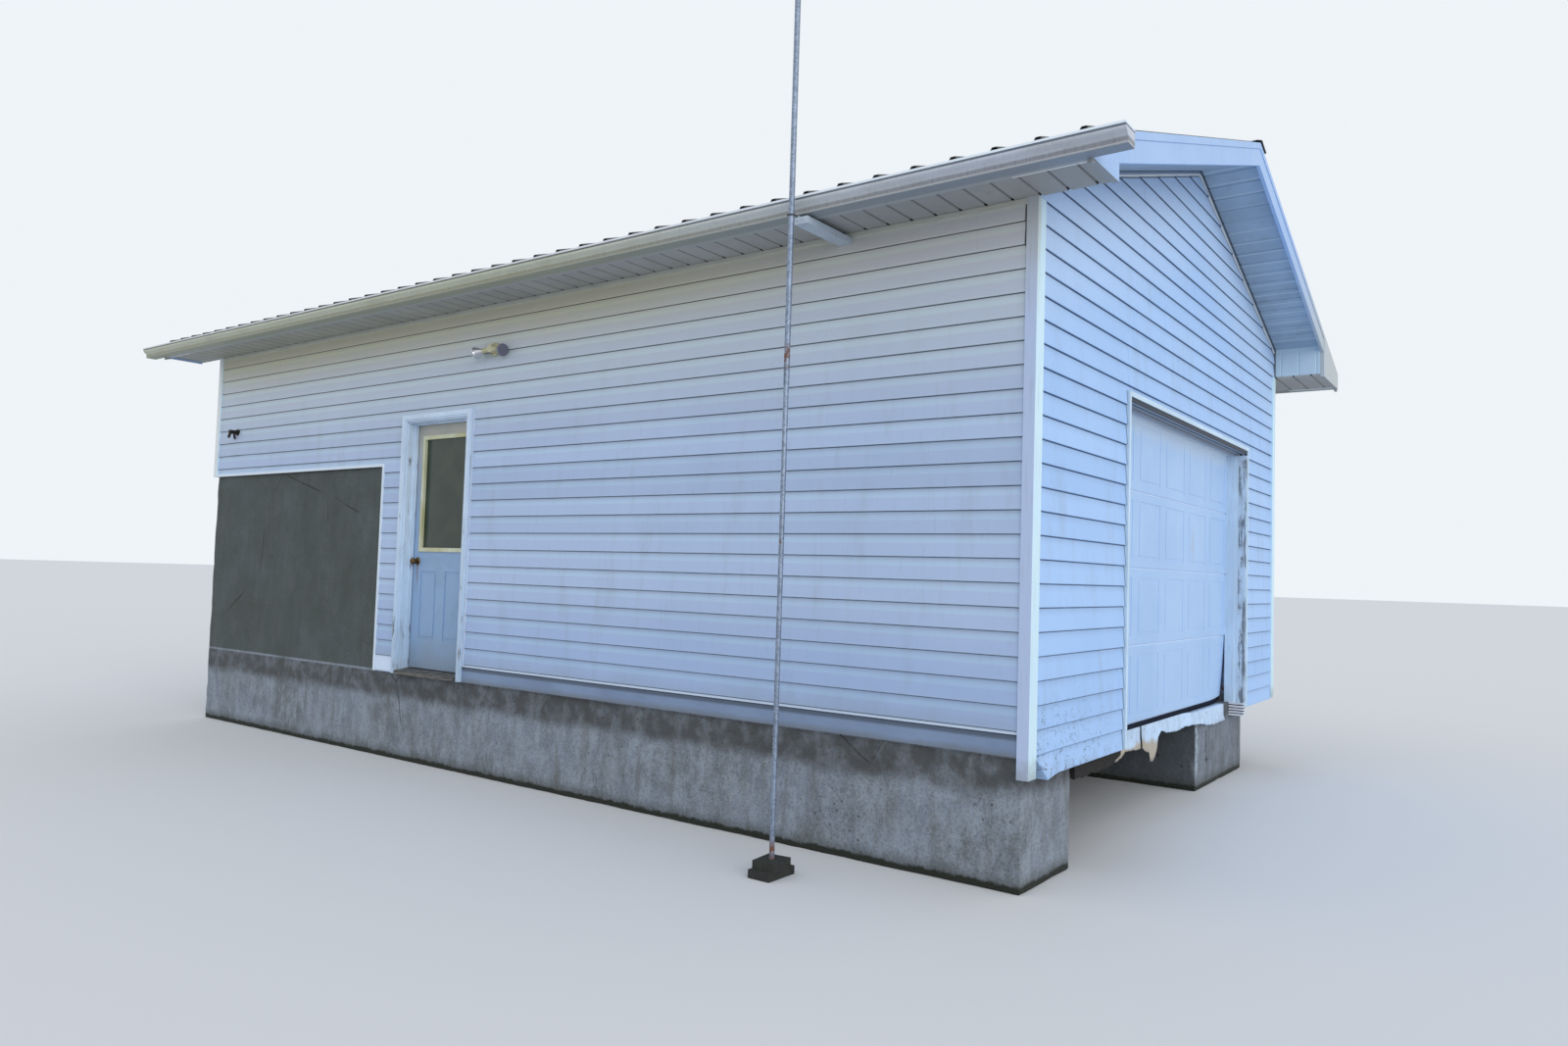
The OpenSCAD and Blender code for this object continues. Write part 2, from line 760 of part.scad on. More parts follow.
// bent cap that rests on the rib tops
module ridge_cap() {
    rise = (sheet_t + rib_h + seat) / cos(slope);
    cap_t = 4 / cos(slope);
    past_rake = 16;
    reach = cap_leg * cos(slope);
    function cap_line(lift) = [
        [x_ridge - reach, roof_z(x_ridge - reach) + lift], [x_ridge, ridge_z + lift],
        [x_ridge + reach, roof_z(x_ridge + reach) + lift]
    ];
    color("dimgray") along_y(rake_y0 - past_rake, rake_y1 + past_rake)
        polygon(concat(cap_line(rise + cap_t), backwards(cap_line(rise))));
}

// Eaves

module eave_fascias() {
    color("white") for (side = [[eave_x0, tail_x0], [tail_x1, eave_x1]])
        along_y(rake_y0 + fascia_t, rake_y1 - fascia_t) polygon([
            [side[0], fascia_foot], [side[1], fascia_foot],
            [side[1], roof_z(side[1]) - sheet_drop], [side[0], roof_z(side[0]) - sheet_drop]
        ]);
}

// rake boards under the sheets, with the trims and box-end plates that cover them from outside
module rake_fascias() {
    foot_drop = rake_depth - trim_rise;
    trim_drop = drip_w - trim_rise;
    trim_t = 6;
    color("white") both_gables() union() {
        along_y(rake_y0, rake_y0 + fascia_t) polygon(concat(under_roof(eave_x0, eave_x1, sheet_drop),
            backwards(under_roof(eave_x0, eave_x1, foot_drop))));
        along_y(rake_y0 - trim_t, rake_y0) polygon(concat(under_roof(eave_x0, eave_x1, -trim_rise),
            backwards(under_roof(eave_x0, eave_x1, trim_drop))));
        for (x = [[eave_x0, x_left], [eave_x1, x_right]]) along_y(rake_y0 - trim_t, rake_y0 + fascia_t)
            polygon([[x[0], fascia_foot], [x[1], fascia_foot],
                     [x[1], roof_z(x[1]) - sheet_drop], [x[0], roof_z(x[0]) - sheet_drop]]);
    }
}

module eave_soffits() {
    y0 = rake_y0 + fascia_t;
    y1 = rake_y1 - fascia_t;
    color("lightgray") {
        block([tail_x0, y0, soffit_z], [wx0, y1, soffit_top]);
        block([wx3, y0, soffit_z], [tail_x1, y1, soffit_top]);
    }
}

// sloped panels under the rakes, with the upright panels that close the boxed eaves
module rake_soffits() {
    x0 = wx0 - soffit_t;
    x1 = wx3 + soffit_t;
    drop = rake_soffit_drop;
    panel_play = 2;
    panel_drop = drop + panel_play + soffit_top;
    color("lightgray") both_gables() along_y(rake_y0 + fascia_t, wy0) union() {
        polygon(concat(under_roof(x0, x1, drop), backwards(under_roof(x0, x1, drop + soffit_t))));
        translate([x0, soffit_top]) square([soffit_t, roof_z(x0) - panel_drop]);
        translate([wx3, soffit_top]) square([soffit_t, roof_z(x1) - panel_drop]);
    }
}

// gutter with a narrow foot, an S-curved front and a folded lip, closed by end caps
module gutter() {
    t = 3;
    foot_w = 90;
    bevel = 4;
    curve_z0 = 26;
    curve_z1 = 66;
    curve_steps = 6;
    lip_h = 12;
    lip_out = 6;
    lip_in = 12;
    y0 = rake_y0 - gutter_past;
    y1 = rake_y1 + gutter_past;
    head_x = gutter_w - lip_out;
    lip_foot = gutter_h - lip_h;
    // front from its foot to its head, moved in and up by a thickness
    function front(inset) = [for (i = [0 : curve_steps]) [
        foot_w - inset + (head_x - foot_w) * (1 - cos(180 * i / curve_steps)) / 2,
        curve_z0 + inset / 2 + (curve_z1 - curve_z0) * i / curve_steps
    ]];
    outer = concat([[0, gutter_h], [0, 0], [foot_w - bevel, 0], [foot_w, bevel]], front(0),
                   [[head_x, lip_foot], [gutter_w, lip_foot], [gutter_w, gutter_h]]);
    hollow = concat([[t, gutter_h + cut], [t, t], [foot_w - bevel - t, t], [foot_w - t, bevel + t]], front(t),
                    [[head_x - t, lip_foot + t], [gutter_w - t, lip_foot + t], [gutter_w - t, gutter_h - t],
                     [gutter_w - lip_in, gutter_h - t], [gutter_w - lip_in, gutter_h + cut]]);
    module run(from, to) {
        along_y(from, to) translate([eave_x0, fascia_foot]) mirror([1, 0]) children();
    }
    color("white") union() {
        run(y0, y1) difference() {
            polygon(outer);
            polygon(hollow);
        }
        run(y0, y0 + t) polygon(outer);
        run(y1 - t, y1) polygon(outer);
    }
}

// Fixtures

// twin floodlight: round canopy with two holders, each with a reflector bulb
module floodlight() {
    from_door = 310;
    below_soffit = 360;
    canopy_r = 50;
    canopy_t = 22;
    stem_l = 40;
    stem_r = 14;
    side = 18;
    holder_r = 21;
    holder_l = 62;
    neck_r = 16;
    lens_r = 48;
    cone_l = 66;
    rim = 9;
    dome = 5;
    turns = [105, 264];
    tilt = 102;
    front = siding_t + canopy_t;
    bulb_l = holder_l + cone_l;
    color("whitesmoke") translate([wx0, dy0 - from_door, soffit_z - below_soffit]) union() {
        rotate([0, -90, 0]) cylinder(r = canopy_r, h = front);
        rotate([0, -90, 0]) cylinder(r = stem_r + side, h = front + stem_l);
        for (i = [0, 1]) translate([-front - stem_l / 2, (1 - 2 * i) * side, 0]) rotate([0, tilt, turns[i]])
            rotate_extrude() polygon([
                [0, 0], [holder_r, 0], [holder_r, holder_l], [neck_r, holder_l],
                [lens_r - dome, bulb_l - dome], [lens_r, bulb_l], [lens_r, bulb_l + rim],
                [lens_r - dome, bulb_l + rim + dome], [0, bulb_l + rim + dome]
            ]);
    }
}

// small dark tap near the back corner: wall flange, body, spout and lever
module wall_fixture() {
    from_back = 430;
    over_concrete = 430;
    flange_r = 32;
    flange_t = 8;
    body_r = 19;
    body_l = 84;
    spout_r = 13;
    spout_l = 62;
    lean = 15;
    lever_w = 16;
    lever_l = 70;
    front = siding_t + body_l;
    color("black") translate([wx0, y_back - from_back, raised_z + over_concrete]) union() {
        rotate([0, -90, 0]) cylinder(r = flange_r, h = siding_t + flange_t);
        rotate([0, -90, 0]) cylinder(r = body_r, h = front);
        translate([-front + spout_r, 0, 0]) rotate([0, 180 + lean, 0]) cylinder(r = spout_r, h = spout_l);
        translate([-front + body_l / 2, 0, 0]) rotate([0, 180 - lean, 0])
            translate([-lever_w / 2, -lever_w / 2, 0]) cube([lever_w, lever_w, lever_l]);
    }
}

// Mast: two lengths of pipe sleeved together, clamped to an arm under the eave

module mast() {
    foot = 2 * block_h;
    joint_z = 2630;
    wall = 3;
    low_r = mast_r - 2;
    bore_r = low_r - wall;
    sleeve = 60;
    cap_h = 12;
    slot_w = 4;
    slot_h = 120;
    color("lightslategray") translate([mast_x, mast_yy, 0]) difference() {
        union() {
            translate([0, 0, foot]) cylinder(r = low_r, h = joint_z - foot + sleeve);
            translate([0, 0, joint_z]) cylinder(r = mast_r, h = mast_top - joint_z);
            translate([0, 0, mast_top]) cylinder(r = mast_r + wall, h = cap_h);
        }
        translate([0, 0, foot - cut]) cylinder(r = bore_r, h = joint_z - foot);
        translate([-mast_r - cut, -slot_w / 2, joint_z - cut])
            cube([mast_r - low_r + 2 * cut, slot_w, slot_h]);
    }
}

module mast_bracket() {
    rod_r = 4;
    bow_r = mast_r + rod_r;
    plate_t = 4;
    arm_mid = arm_z + arm_t / 2;
    color("white") translate([0, mast_yy, 0]) union() {
        block([arm_x0, -arm_w / 2, arm_z], [wx0, arm_w / 2, arm_z + arm_t]);
        block([arm_x0 - plate_t, -arm_w / 2, arm_z], [arm_x0, arm_w / 2, arm_z + arm_t]);
        translate([mast_x, 0, arm_mid]) rotate([0, 0, 90]) rotate_extrude(angle = 180)
            translate([bow_r, 0]) circle(r = rod_r, $fn = 24);
        for (s = [-1, 1]) translate([mast_x, s * bow_r, arm_mid]) rotate([0, 90, 0])
            cylinder(r = rod_r, h = arm_x0 - mast_x, $fn = 24);
    }
}

module mast_blocks() {
    upper_w = 170;
    depth = 138;
    turn = 6;
    color("saddlebrown") translate([mast_x, mast_yy, 0]) {
        translate([-block_w / 2, -depth / 2, 0]) cube([block_w, depth, block_h]);
        translate([0, 0, block_h]) rotate([0, 0, turn]) translate([-upper_w / 2, -depth / 2, 0])
            cube([upper_w, depth, block_h]);
    }
}

foundation_left();
foundation_right();
foundation_back();
left_wall_front();
left_wall_over_door();
left_wall_middle();
left_wall_back();
right_wall_front();
right_wall_back();
back_wall();
front_wall_left();
front_wall_right();
front_gable();
corner_posts();
base_trims();
door_frame();
door_sill();
man_door();
lite_frame();
lite_glass();
door_knobs();
boat_door_frame();
boat_door_trim();
door_section_1();
door_section_2();
door_section_3();
door_section_4();
boat_door_seal();
boat_door_tracks();
rafters();
joists();
purlins();
roof_left();
roof_right();
ridge_cap();
eave_fascias();
rake_fascias();
eave_soffits();
rake_soffits();
gutter();
floodlight();
wall_fixture();
mast();
mast_bracket();
mast_blocks();
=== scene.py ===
import math
import random

import bmesh
import bpy
from mathutils import Matrix, Vector, noise


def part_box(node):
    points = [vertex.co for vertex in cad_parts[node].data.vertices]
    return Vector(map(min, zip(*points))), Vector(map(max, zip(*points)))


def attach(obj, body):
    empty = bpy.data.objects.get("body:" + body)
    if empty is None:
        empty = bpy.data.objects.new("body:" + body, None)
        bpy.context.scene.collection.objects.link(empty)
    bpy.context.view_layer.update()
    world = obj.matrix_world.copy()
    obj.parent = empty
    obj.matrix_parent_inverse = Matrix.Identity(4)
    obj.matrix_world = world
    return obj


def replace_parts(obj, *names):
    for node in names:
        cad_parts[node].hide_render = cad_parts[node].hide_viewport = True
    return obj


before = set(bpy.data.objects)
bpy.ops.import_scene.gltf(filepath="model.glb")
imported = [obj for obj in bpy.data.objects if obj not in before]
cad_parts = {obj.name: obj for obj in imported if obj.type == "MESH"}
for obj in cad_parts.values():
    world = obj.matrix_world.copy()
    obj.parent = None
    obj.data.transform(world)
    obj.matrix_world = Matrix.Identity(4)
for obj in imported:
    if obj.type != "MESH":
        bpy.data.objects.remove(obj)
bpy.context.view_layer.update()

# Camera: at eye height above the water, a few steps to the left of the lake corner,
# level but for a small tilt, with a wide lens.
scene = bpy.context.scene


def enter(name, data):
    obj = bpy.data.objects.new(name, data)
    scene.collection.objects.link(obj)
    return obj


eye = Vector((-8.0115, -6.563, 1.602))
azimuth, elevation, roll = (math.radians(a) for a in (53.55, 2.81, 1.75))
level = math.cos(elevation)
ahead = Vector((math.sin(azimuth) * level, math.cos(azimuth) * level, math.sin(elevation)))
across = ahead.cross(Vector((0, 0, 1))).normalized()
above = across.cross(ahead)
image_x = across * math.cos(roll) + above * math.sin(roll)
image_y = above * math.cos(roll) - across * math.sin(roll)
camera = enter("camera", bpy.data.cameras.new("camera"))
camera.data.sensor_fit, camera.data.sensor_width, camera.data.lens = "HORIZONTAL", 36, 24.1
camera.matrix_world = Matrix.Translation(eye) @ Matrix((image_x, image_y, -ahead)).transposed().to_4x4()
scene.camera = camera

# Foundation: poured concrete ledges and piers that stand in the water, and a raised wall at the bank.
# Cast against boards; worn arrises, pinholes, fine cracks, a dark band under the siding that is partly damp and
# partly painted shadow of the siding's overhang, and dark growth where the water line runs.


class Tone:
    """A number or colour that changes over a surface, at one socket of a material's nodes. A colour given to a
    node as three numbers has them on the usual scale of 0 to 255."""

    def __init__(self, socket):
        self.socket, self.tree = socket, socket.id_data

    def node(self, kind, settings, *ordered, out=None, **named):
        made = self.tree.nodes.new("ShaderNode" + kind)
        for key, value in settings.items():
            setattr(made, key, value)
        open_sockets = [s for s in made.inputs if s.enabled]
        fed = list(zip(open_sockets, ordered))
        for name, value in named.items():
            fed.append((next(s for s in open_sockets if s.name == name.replace("_", " ")), value))
        for socket, value in fed:
            if isinstance(value, Tone):
                self.tree.links.new(value.socket, socket)
            else:
                three = socket.type == "RGBA" and len(value) == 3
                socket.default_value = rgb(*value) if three else value
        return Tone(next(s for s in made.outputs if s.enabled and out in (None, s.name)))

    def work(self, operation, a, b):
        if all(v.socket.type == "VALUE" for v in (a, b) if isinstance(v, Tone)):
            return self.node("Math", {"operation": operation}, a, b)
        a, b = ((v,) * 3 if isinstance(v, (int, float)) else v for v in (a, b))
        return self.node("VectorMath", {"operation": operation}, a, b)

    def __add__(self, other):
        return self.work("ADD", self, other)

    def __sub__(self, other):
        return self.work("SUBTRACT", self, other)

    def __rsub__(self, other):
        return self.work("SUBTRACT", other, self)

    def __mul__(self, other):
        return self.work("MULTIPLY", self, other)

    def __mod__(self, other):
        return self.work("FLOORED_MODULO", self, other)

    def __abs__(self):
        return self.node("Math", {"operation": "ABSOLUTE"}, self)

    __radd__, __rmul__ = __add__, __mul__

    def mix(self, low, high):
        return self.node("Mix", {"data_type": "RGBA"}, self, low, high)

    def rise(self, low, high):
        return self.node("MapRange", {"interpolation_type": "SMOOTHSTEP"}, self, low, high)

    def parts(self):
        made = self.node("SeparateXYZ", {}, self).socket.node
        return [Tone(s) for s in made.outputs]

    def cloud(self, size, detail=3.0, rough=0.55):
        return self.node("TexNoise", {}, self, Scale=1 / size, Detail=detail, Roughness=rough)

    def spots(self, size, feature="F1"):
        return self.node("TexVoronoi", {"feature": feature}, self, Scale=1 / size)

    def uneven(self, place, reach, size, detail=3.0):
        return self + reach * (place.cloud(size, detail) - 0.5)


def rgb(*channels):
    """Linear colour from red, green and blue on the usual scale of 0 to 255."""
    shares = [c / 255 for c in channels]
    return tuple(c / 12.92 if c <= 0.04 else ((c + 0.055) / 1.055) ** 2.4 for c in shares) + (1,)


def layered(tone, *layers):
    """A colour with others laid over it. Each layer has its mask, its strength, and its colour or three numbers."""
    for mask, strength, *colour in layers:
        cover = mask if strength == 1 else mask * strength
        tone = cover.mix(tone, colour if len(colour) == 3 else colour[0])
    return tone


def begin(name):
    """An empty material and the place of a point in it, in metres."""
    material = bpy.data.materials.new(name)
    material.use_nodes = True
    material.node_tree.nodes.clear()
    return material, Tone(material.node_tree.nodes.new("ShaderNodeTexCoord").outputs["Object"])


def coat(material, place, height, depth, **sockets):
    """The finished material: a shader over a relief that is depth metres high where height is 1."""
    sockets["Normal"] = place.node("Bump", {}, Distance=depth, Height=height)
    shader = place.node("BsdfPrincipled", {}, **sockets)
    output = place.tree.nodes.new("ShaderNodeOutputMaterial")
    place.tree.links.new(shader.socket, output.inputs["Surface"])
    return material


def dress(material, *nodes):
    for name in nodes:
        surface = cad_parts[name].data
        surface.materials.clear()
        surface.materials.append(material)


def slice_at(shape, at, facing):
    geometry = shape.verts[:] + shape.edges[:] + shape.faces[:]
    bmesh.ops.bisect_plane(shape, geom=geometry, dist=1e-6, plane_co=at, plane_no=facing)


def show(name, shape, material):
    """A visible piece of the building, made from a finished bmesh."""
    mesh = bpy.data.meshes.new(name)
    shape.to_mesh(mesh)
    shape.free()
    mesh.materials.append(material)
    obj = enter(name, mesh)
    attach(obj, "building")
    return obj


concrete, place = begin("harbour_concrete")
x, y, z = place.parts()
patches = place.cloud(0.55, 5)
sand = place.cloud(0.012, 2)
gravel = place.spots(0.022).rise(0.55, 0.2)
pinholes = place.spots(0.07).rise(0.11, 0.05) * place.cloud(0.4).rise(0.45, 0.6)
crack = (place + 0.1 * place.cloud(0.3, 4)).spots(1.1, "DISTANCE_TO_EDGE").rise(0.007, 0.0)
crack = crack * place.cloud(0.9).rise(0.54, 0.64)
pours = abs((z + 0.012 * place.cloud(0.5)) % 0.235 - 0.1175).rise(0.1175, 0.112)
blotches = (place * (1.7, 1.7, 1)).cloud(0.2, 9, 0.78).rise(0.38, 0.62)
body = patches.rise(0.3, 0.7).mix((112, 121, 130), (140, 153, 171))
# The raised wall above the ledge is painted darker and greener: partly algae, partly painted shade.
above_ledge = z.uneven(place, 0.012, 0.2).rise(0.700, 0.716)
# A dark band just under the siding: partly damp, partly painted shadow of the siding's overhang.
damp_and_shadow = (z + 0.1 * place.cloud(0.35, 5)).rise(0.5, 0.6) * (1 - z.rise(0.685, 0.695))
damp_and_shadow = damp_and_shadow * (0.6 + 0.4 * place.cloud(0.12, 4).rise(0.35, 0.6))
# Concrete inside the slip, under the building, is painted darker as shade.
in_slip = abs(x + 0.7915).rise(1.437, 1.431) * y.rise(-4.262, -4.25) * y.rise(3.2, 3.1)
voids = place.spots(0.12).rise(0.13, 0.08) * in_slip
pier_nose = y.rise(-4.25, -4.26) * x.rise(0.6, 0.62)
lime = abs((x - 0.67).uneven(place, 0.05, 0.2)).rise(0.05, 0.005) * z.rise(0.08, 0.2) * z.rise(0.58, 0.45)
weep = abs((x - 0.93).uneven(place, 0.02, 0.1)).rise(0.016, 0.008) * abs(z - 0.36).rise(0.1, 0.08)
weep = (weep + (abs(x - 0.96) + abs(z - 0.213)).rise(0.04, 0.02)) * pier_nose
soaked = z.uneven(place, 0.05, 0.12, 5).rise(0.12, 0.03)
growth = (z + 0.06 * (place.cloud(0.07, 5, 0.7) - 0.5)).rise(0.05, 0.03)
body = layered(
    body * 0.74,
    (blotches, 0.55, 164, 176, 190),
    (place.cloud(0.02, 4, 0.7).rise(0.6, 0.68), 0.45, 70, 74, 76),
    (sand.rise(0.35, 0.7), 0.3, 171, 172, 168),
    (gravel, 0.3, 96, 93, 86),
    ((place * (1, 1, 0.12)).cloud(0.09, 4).rise(0.5, 0.75), 0.4, 96, 92, 80),
    (above_ledge * (0.7 + 0.3 * place.cloud(0.35, 4)), 1, 66, 73, 67),
    (damp_and_shadow, 0.9, 66, 67, 66),
    (in_slip, 0.8, 66, 70, 72),
    (voids, 0.7, 24, 25, 25),
    (pier_nose, 0.3, 82, 88, 96),
    (lime * pier_nose * place.cloud(0.04, 4).rise(0.3, 0.6), 0.8, 190, 204, 214),
    (weep, 0.85, 40, 42, 42),
    (soaked, 0.55, 66, 68, 62),
    (growth, 1, 30, 35, 25),
    (crack, 0.8, 45, 44, 41),
    (pinholes, 0.8, 52, 51, 48))
relief = sand * 0.35 + patches * 0.8 + gravel * 0.2 - pinholes * 0.9 - crack * 1.2 - pours * 0.25 - voids
coat(concrete, place, relief, 0.006, Base_Color=body, Roughness=0.93 - 0.3 * (damp_and_shadow * 0.6 + growth * 0.4))


def cast_in_concrete(node, step, arris, wear):
    """The node's own shape with rounded, chipped arrises and faces that are a little uneven, inside the old faces."""
    source = bmesh.new()
    source.from_mesh(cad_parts[node].data)
    bmesh.ops.remove_doubles(source, verts=source.verts, dist=1e-5)
    bmesh.ops.dissolve_limit(source, angle_limit=0.01, verts=source.verts, edges=source.edges)
    bmesh.ops.bevel(source, geom=[e for e in source.edges if e.calc_face_angle(0) > 0.5], offset=arris, segments=2,
                    profile=0.5, affect="EDGES")
    low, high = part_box(node)
    for axis in range(3):
        facing = [0, 0, 0]
        facing[axis] = 1
        for cut in range(1, int((high[axis] - low[axis]) / step) + 1):
            at = low.copy()
            at[axis] += cut * step
            if at[axis] < high[axis] - arris * 1.5:
                slice_at(source, at, facing)
    source.normal_update()
    for v in source.verts:
        lies_flat = abs(v.normal.z) > 0.9
        on_arris = max(abs(c) for c in v.normal) < 0.99
        bite = wear * (0.5 + 0.5 * noise.noise(v.co * 2.3)) * (0.1 if lies_flat else 1)
        if on_arris:
            bite += 2.6 * wear * max(0, noise.noise(v.co * 7.0) - 0.05) + 2 * wear * max(0, noise.noise(v.co * 23.0))
        v.co -= v.normal * bite
    for face in source.faces:
        face.smooth = False
    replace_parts(show(node + "_cast", source, concrete), node)


for ledge in ("foundation_left", "foundation_right", "foundation_back"):
    cast_in_concrete(ledge, step=0.09, arris=0.008, wear=0.004)

# Framed walls: studs with plywood sheathing, unpainted inside and covered by the siding outside.
# Sheets of 1.22 m with a fine joint, wavy rotary grain, knots and a row of nails at each stud; black felt outside,
# also painted shade in gaps.
sheathing, place = begin("plywood_sheathing")
x, y, z = place.parts()
along = x + y
grain = (place * (3.2, 3.2, 0.35) + 0.25 * place.cloud(0.5)).cloud(0.11, 6, 0.65)
knots = (place * (1, 1, 0.6)).spots(0.42).rise(0.06, 0.02)
joints = abs(along % 1.22 - 0.61).rise(0.606, 0.6095)
courses_joint = abs(z % 2.44 - 1.22).rise(1.216, 1.2195)
nails = (abs(along % 0.406 - 0.203).rise(0.006, 0.003)) * (abs(z % 0.2 - 0.1).rise(0.006, 0.003))
# Black felt on the outer faces; its darkness also stands in as painted shade in the gap beside the left post's top.
felt_and_gap_shade = (abs(x + 0.0665).rise(2.8305, 2.8315) + abs(y).rise(4.3655, 4.3665)).rise(0.0, 1.0)
board = layered(
    (196, 158, 110),
    (grain.rise(0.3, 0.75), 1, 150, 106, 63),
    (place.cloud(0.8, 3).rise(0.45, 0.75), 0.4, 126, 108, 84),
    (knots, 1, 80, 47, 25),
    ((joints + courses_joint + nails).rise(0.0, 0.9), 0.75, 52, 42, 32),
    (felt_and_gap_shade, 1, 38, 38, 37))
coat(sheathing, place, grain * 0.3 - joints - courses_joint, 0.002, Base_Color=board, Roughness=0.8)
dress(sheathing, "left_wall_front", "left_wall_over_door", "left_wall_middle", "left_wall_back", "right_wall_front",
      "right_wall_back", "back_wall", "front_wall_left", "front_wall_right", "front_gable")


# Roof frame: sawn spruce rafter pairs, ceiling joists nailed beside them and flat purlins over them.
# The grain runs along each stick, with knots and a grey bloom from the damp air.
def sawn_spruce(name, stretch):
    material, place = begin(name)
    run = place * stretch
    rings = (run + 0.06 * place.cloud(0.4)).cloud(0.02, 5, 0.6)
    knots = (place * tuple(0.3 + 0.7 * s for s in stretch)).spots(0.35).rise(0.05, 0.02)
    wood = layered(
        (201, 168, 120),
        (rings.rise(0.3, 0.7), 1, 157, 115, 70),
        (place.cloud(0.5).rise(0.4, 0.7), 0.5, 138, 126, 108),
        (knots, 1, 84, 49, 27))
    return coat(material, place, rings - knots, 0.0012, Base_Color=wood, Roughness=0.82)


dress(sawn_spruce("spruce_across", (0.06, 1, 1)), "rafters", "joists")
dress(sawn_spruce("spruce_lengthwise", (1, 0.06, 1)), "purlins")


# Roof covering: ribbed steel sheets with a dark baked finish, side-lapped every fourth rib, and a bent ridge cap.
# Hexagon screws with washers hold them in the flats beside the ribs, one row to each purlin.
def piece(name, solids, material, foot_cap=True):
    """A piece of one or more solids, each of them a list of rings with the same number of points."""
    shape = bmesh.new()
    for solid in solids:
        rings = [[shape.verts.new(p) for p in ring] for ring in solid]
        for a, b in zip(rings, rings[1:]):
            for k in range(len(a)):
                shape.faces.new((a[k - 1], a[k], b[k], b[k - 1]))
        if foot_cap:
            shape.faces.new(rings[0][::-1])
        shape.faces.new(rings[-1])
    shape.normal_update()
    bmesh.ops.recalc_face_normals(shape, faces=shape.faces)
    return show(name, shape, material)


fall = 1 / 3
pitch = math.atan(fall)
ridge_x, ridge_z, slope_len, first_rib = 0.1335, 4.8781, 3.5945, -4.7747
rib_step, ribs, purlin_rows = 0.229, 42, 5
roof_steel, place = begin("dark_roof_steel")
x, y, z = place.parts()
dust = place.cloud(0.7, 4).rise(0.4, 0.75)
runs = (place * (0.12, 1, 0.12)).cloud(0.03, 4).rise(0.45, 0.8)
lap_line = abs((y - first_rib) % (4 * rib_step) - 0.03).rise(0.003, 0.001)
lichen = place.spots(0.06).rise(0.18, 0.1) * place.cloud(0.6).rise(0.55, 0.65)
steel = layered(
    (52, 55, 58),
    (dust, 0.5, 86, 86, 80),
    (runs, 0.35, 104, 104, 98),
    (lichen, 0.6, 116, 122, 96),
    (lap_line, 0.8, 16, 17, 18))
coat(roof_steel, place, place.cloud(0.25) * 0.4 + place.cloud(0.004) * 0.03 - lap_line * 0.4, 0.003,
     Base_Color=steel, Roughness=0.42 + 0.25 * dust, Metallic=0.25)
dress(roof_steel, "roof_left", "roof_right", "ridge_cap")

washer_then_head = ((0.0085, 0), (0.0085, 0.0012), (0.0048, 0.0016), (0.0048, 0.0062))
screws = []
for side in (-1, 1):
    down = Vector((side * math.cos(pitch), 0, -math.sin(pitch)))
    normal = Vector((side * math.sin(pitch), 0, math.cos(pitch)))
    for row in range(purlin_rows):
        for rib in range(ribs):
            out = 0.1345 + row * (slope_len - 0.2253) / (purlin_rows - 1)
            foot = Vector((ridge_x, first_rib + rib * rib_step + 0.048, ridge_z)) + down * out + normal * 0.004
            turns = [k * math.pi / 3 + rib for k in range(6)]
            spokes = [down * math.cos(turn) + Vector((0, 1, 0)) * math.sin(turn) for turn in turns]
            screws.append([[foot + normal * lift + spoke * radius for spoke in spokes]
                           for radius, lift in washer_then_head])
screw_steel, place = begin("painted_screw_steel")
coat(screw_steel, place, place.cloud(0.002), 0.0003, Metallic=0.5, Roughness=0.5,
     Base_Color=place.cloud(0.3, 4).rise(0.45, 0.7).mix((62, 64, 66), (120, 92, 70)))
piece("roof_screws", screws, screw_steel, foot_cap=False)

# Fascias: boards wrapped in bent white aluminium, with lapped joints every 3 m and a hem along the foot.
# Chalked and a little dented; the eave boards have run marks from the wet, the rakes stay brighter.
white_sheet, place = begin("wrapped_aluminium")
x, y, z = place.parts()
blotch = place.cloud(0.35, 4)
streak = (place * (1, 1, 0.06)).cloud(0.03, 4, 0.6).rise(0.5, 0.8)
wrap_joint = abs((y + 0.62) % 3.05 - 1.525).rise(1.5215, 1.524)
sheet = layered(
    (164, 197, 241),
    (blotch.rise(0.3, 0.7), 1, 175, 205, 244),
    (x.rise(0.9, 3.3), 0.9, 190, 194, 188),
    (z.rise(3.6065, 3.6055), 1, 158, 163, 166),
    (x.rise(-3.245, -3.25) * abs(y).rise(4.784, 4.78), 1, 172, 175, 176),
    (streak, 0.22, 150, 158, 158),
    (wrap_joint, 0.6, 104, 112, 120),
    (place.spots(0.05).rise(0.1, 0.03) * place.cloud(0.3).rise(0.5, 0.7), 0.5, 120, 122, 110))
coat(white_sheet, place, place.cloud(0.22, 2) - wrap_joint * 0.4, 0.004,
     Base_Color=sheet, Roughness=0.38 + 0.2 * blotch)
dress(white_sheet, "rake_fascias", "eave_fascias")

# Soffits: ribbed white vinyl panels across the eaves and rakes, a V-groove every 152 mm, ends tucked in channels.
# Grey with dust and cobwebs; where each groove meets the channel at the wall its mouth is painted dark as shade.
wall_left, wall_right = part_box("left_wall_front")[0].x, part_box("right_wall_front")[1].x
wall_front, wall_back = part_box("front_gable")[0].y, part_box("back_wall")[1].y
(tail_left, rake_in, soffit_foot), (tail_right, _, soffit_head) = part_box("eave_soffits")
groove_step, groove_deep, groove_half, groove_bed = 0.1524, 0.008, 0.009, 0.002


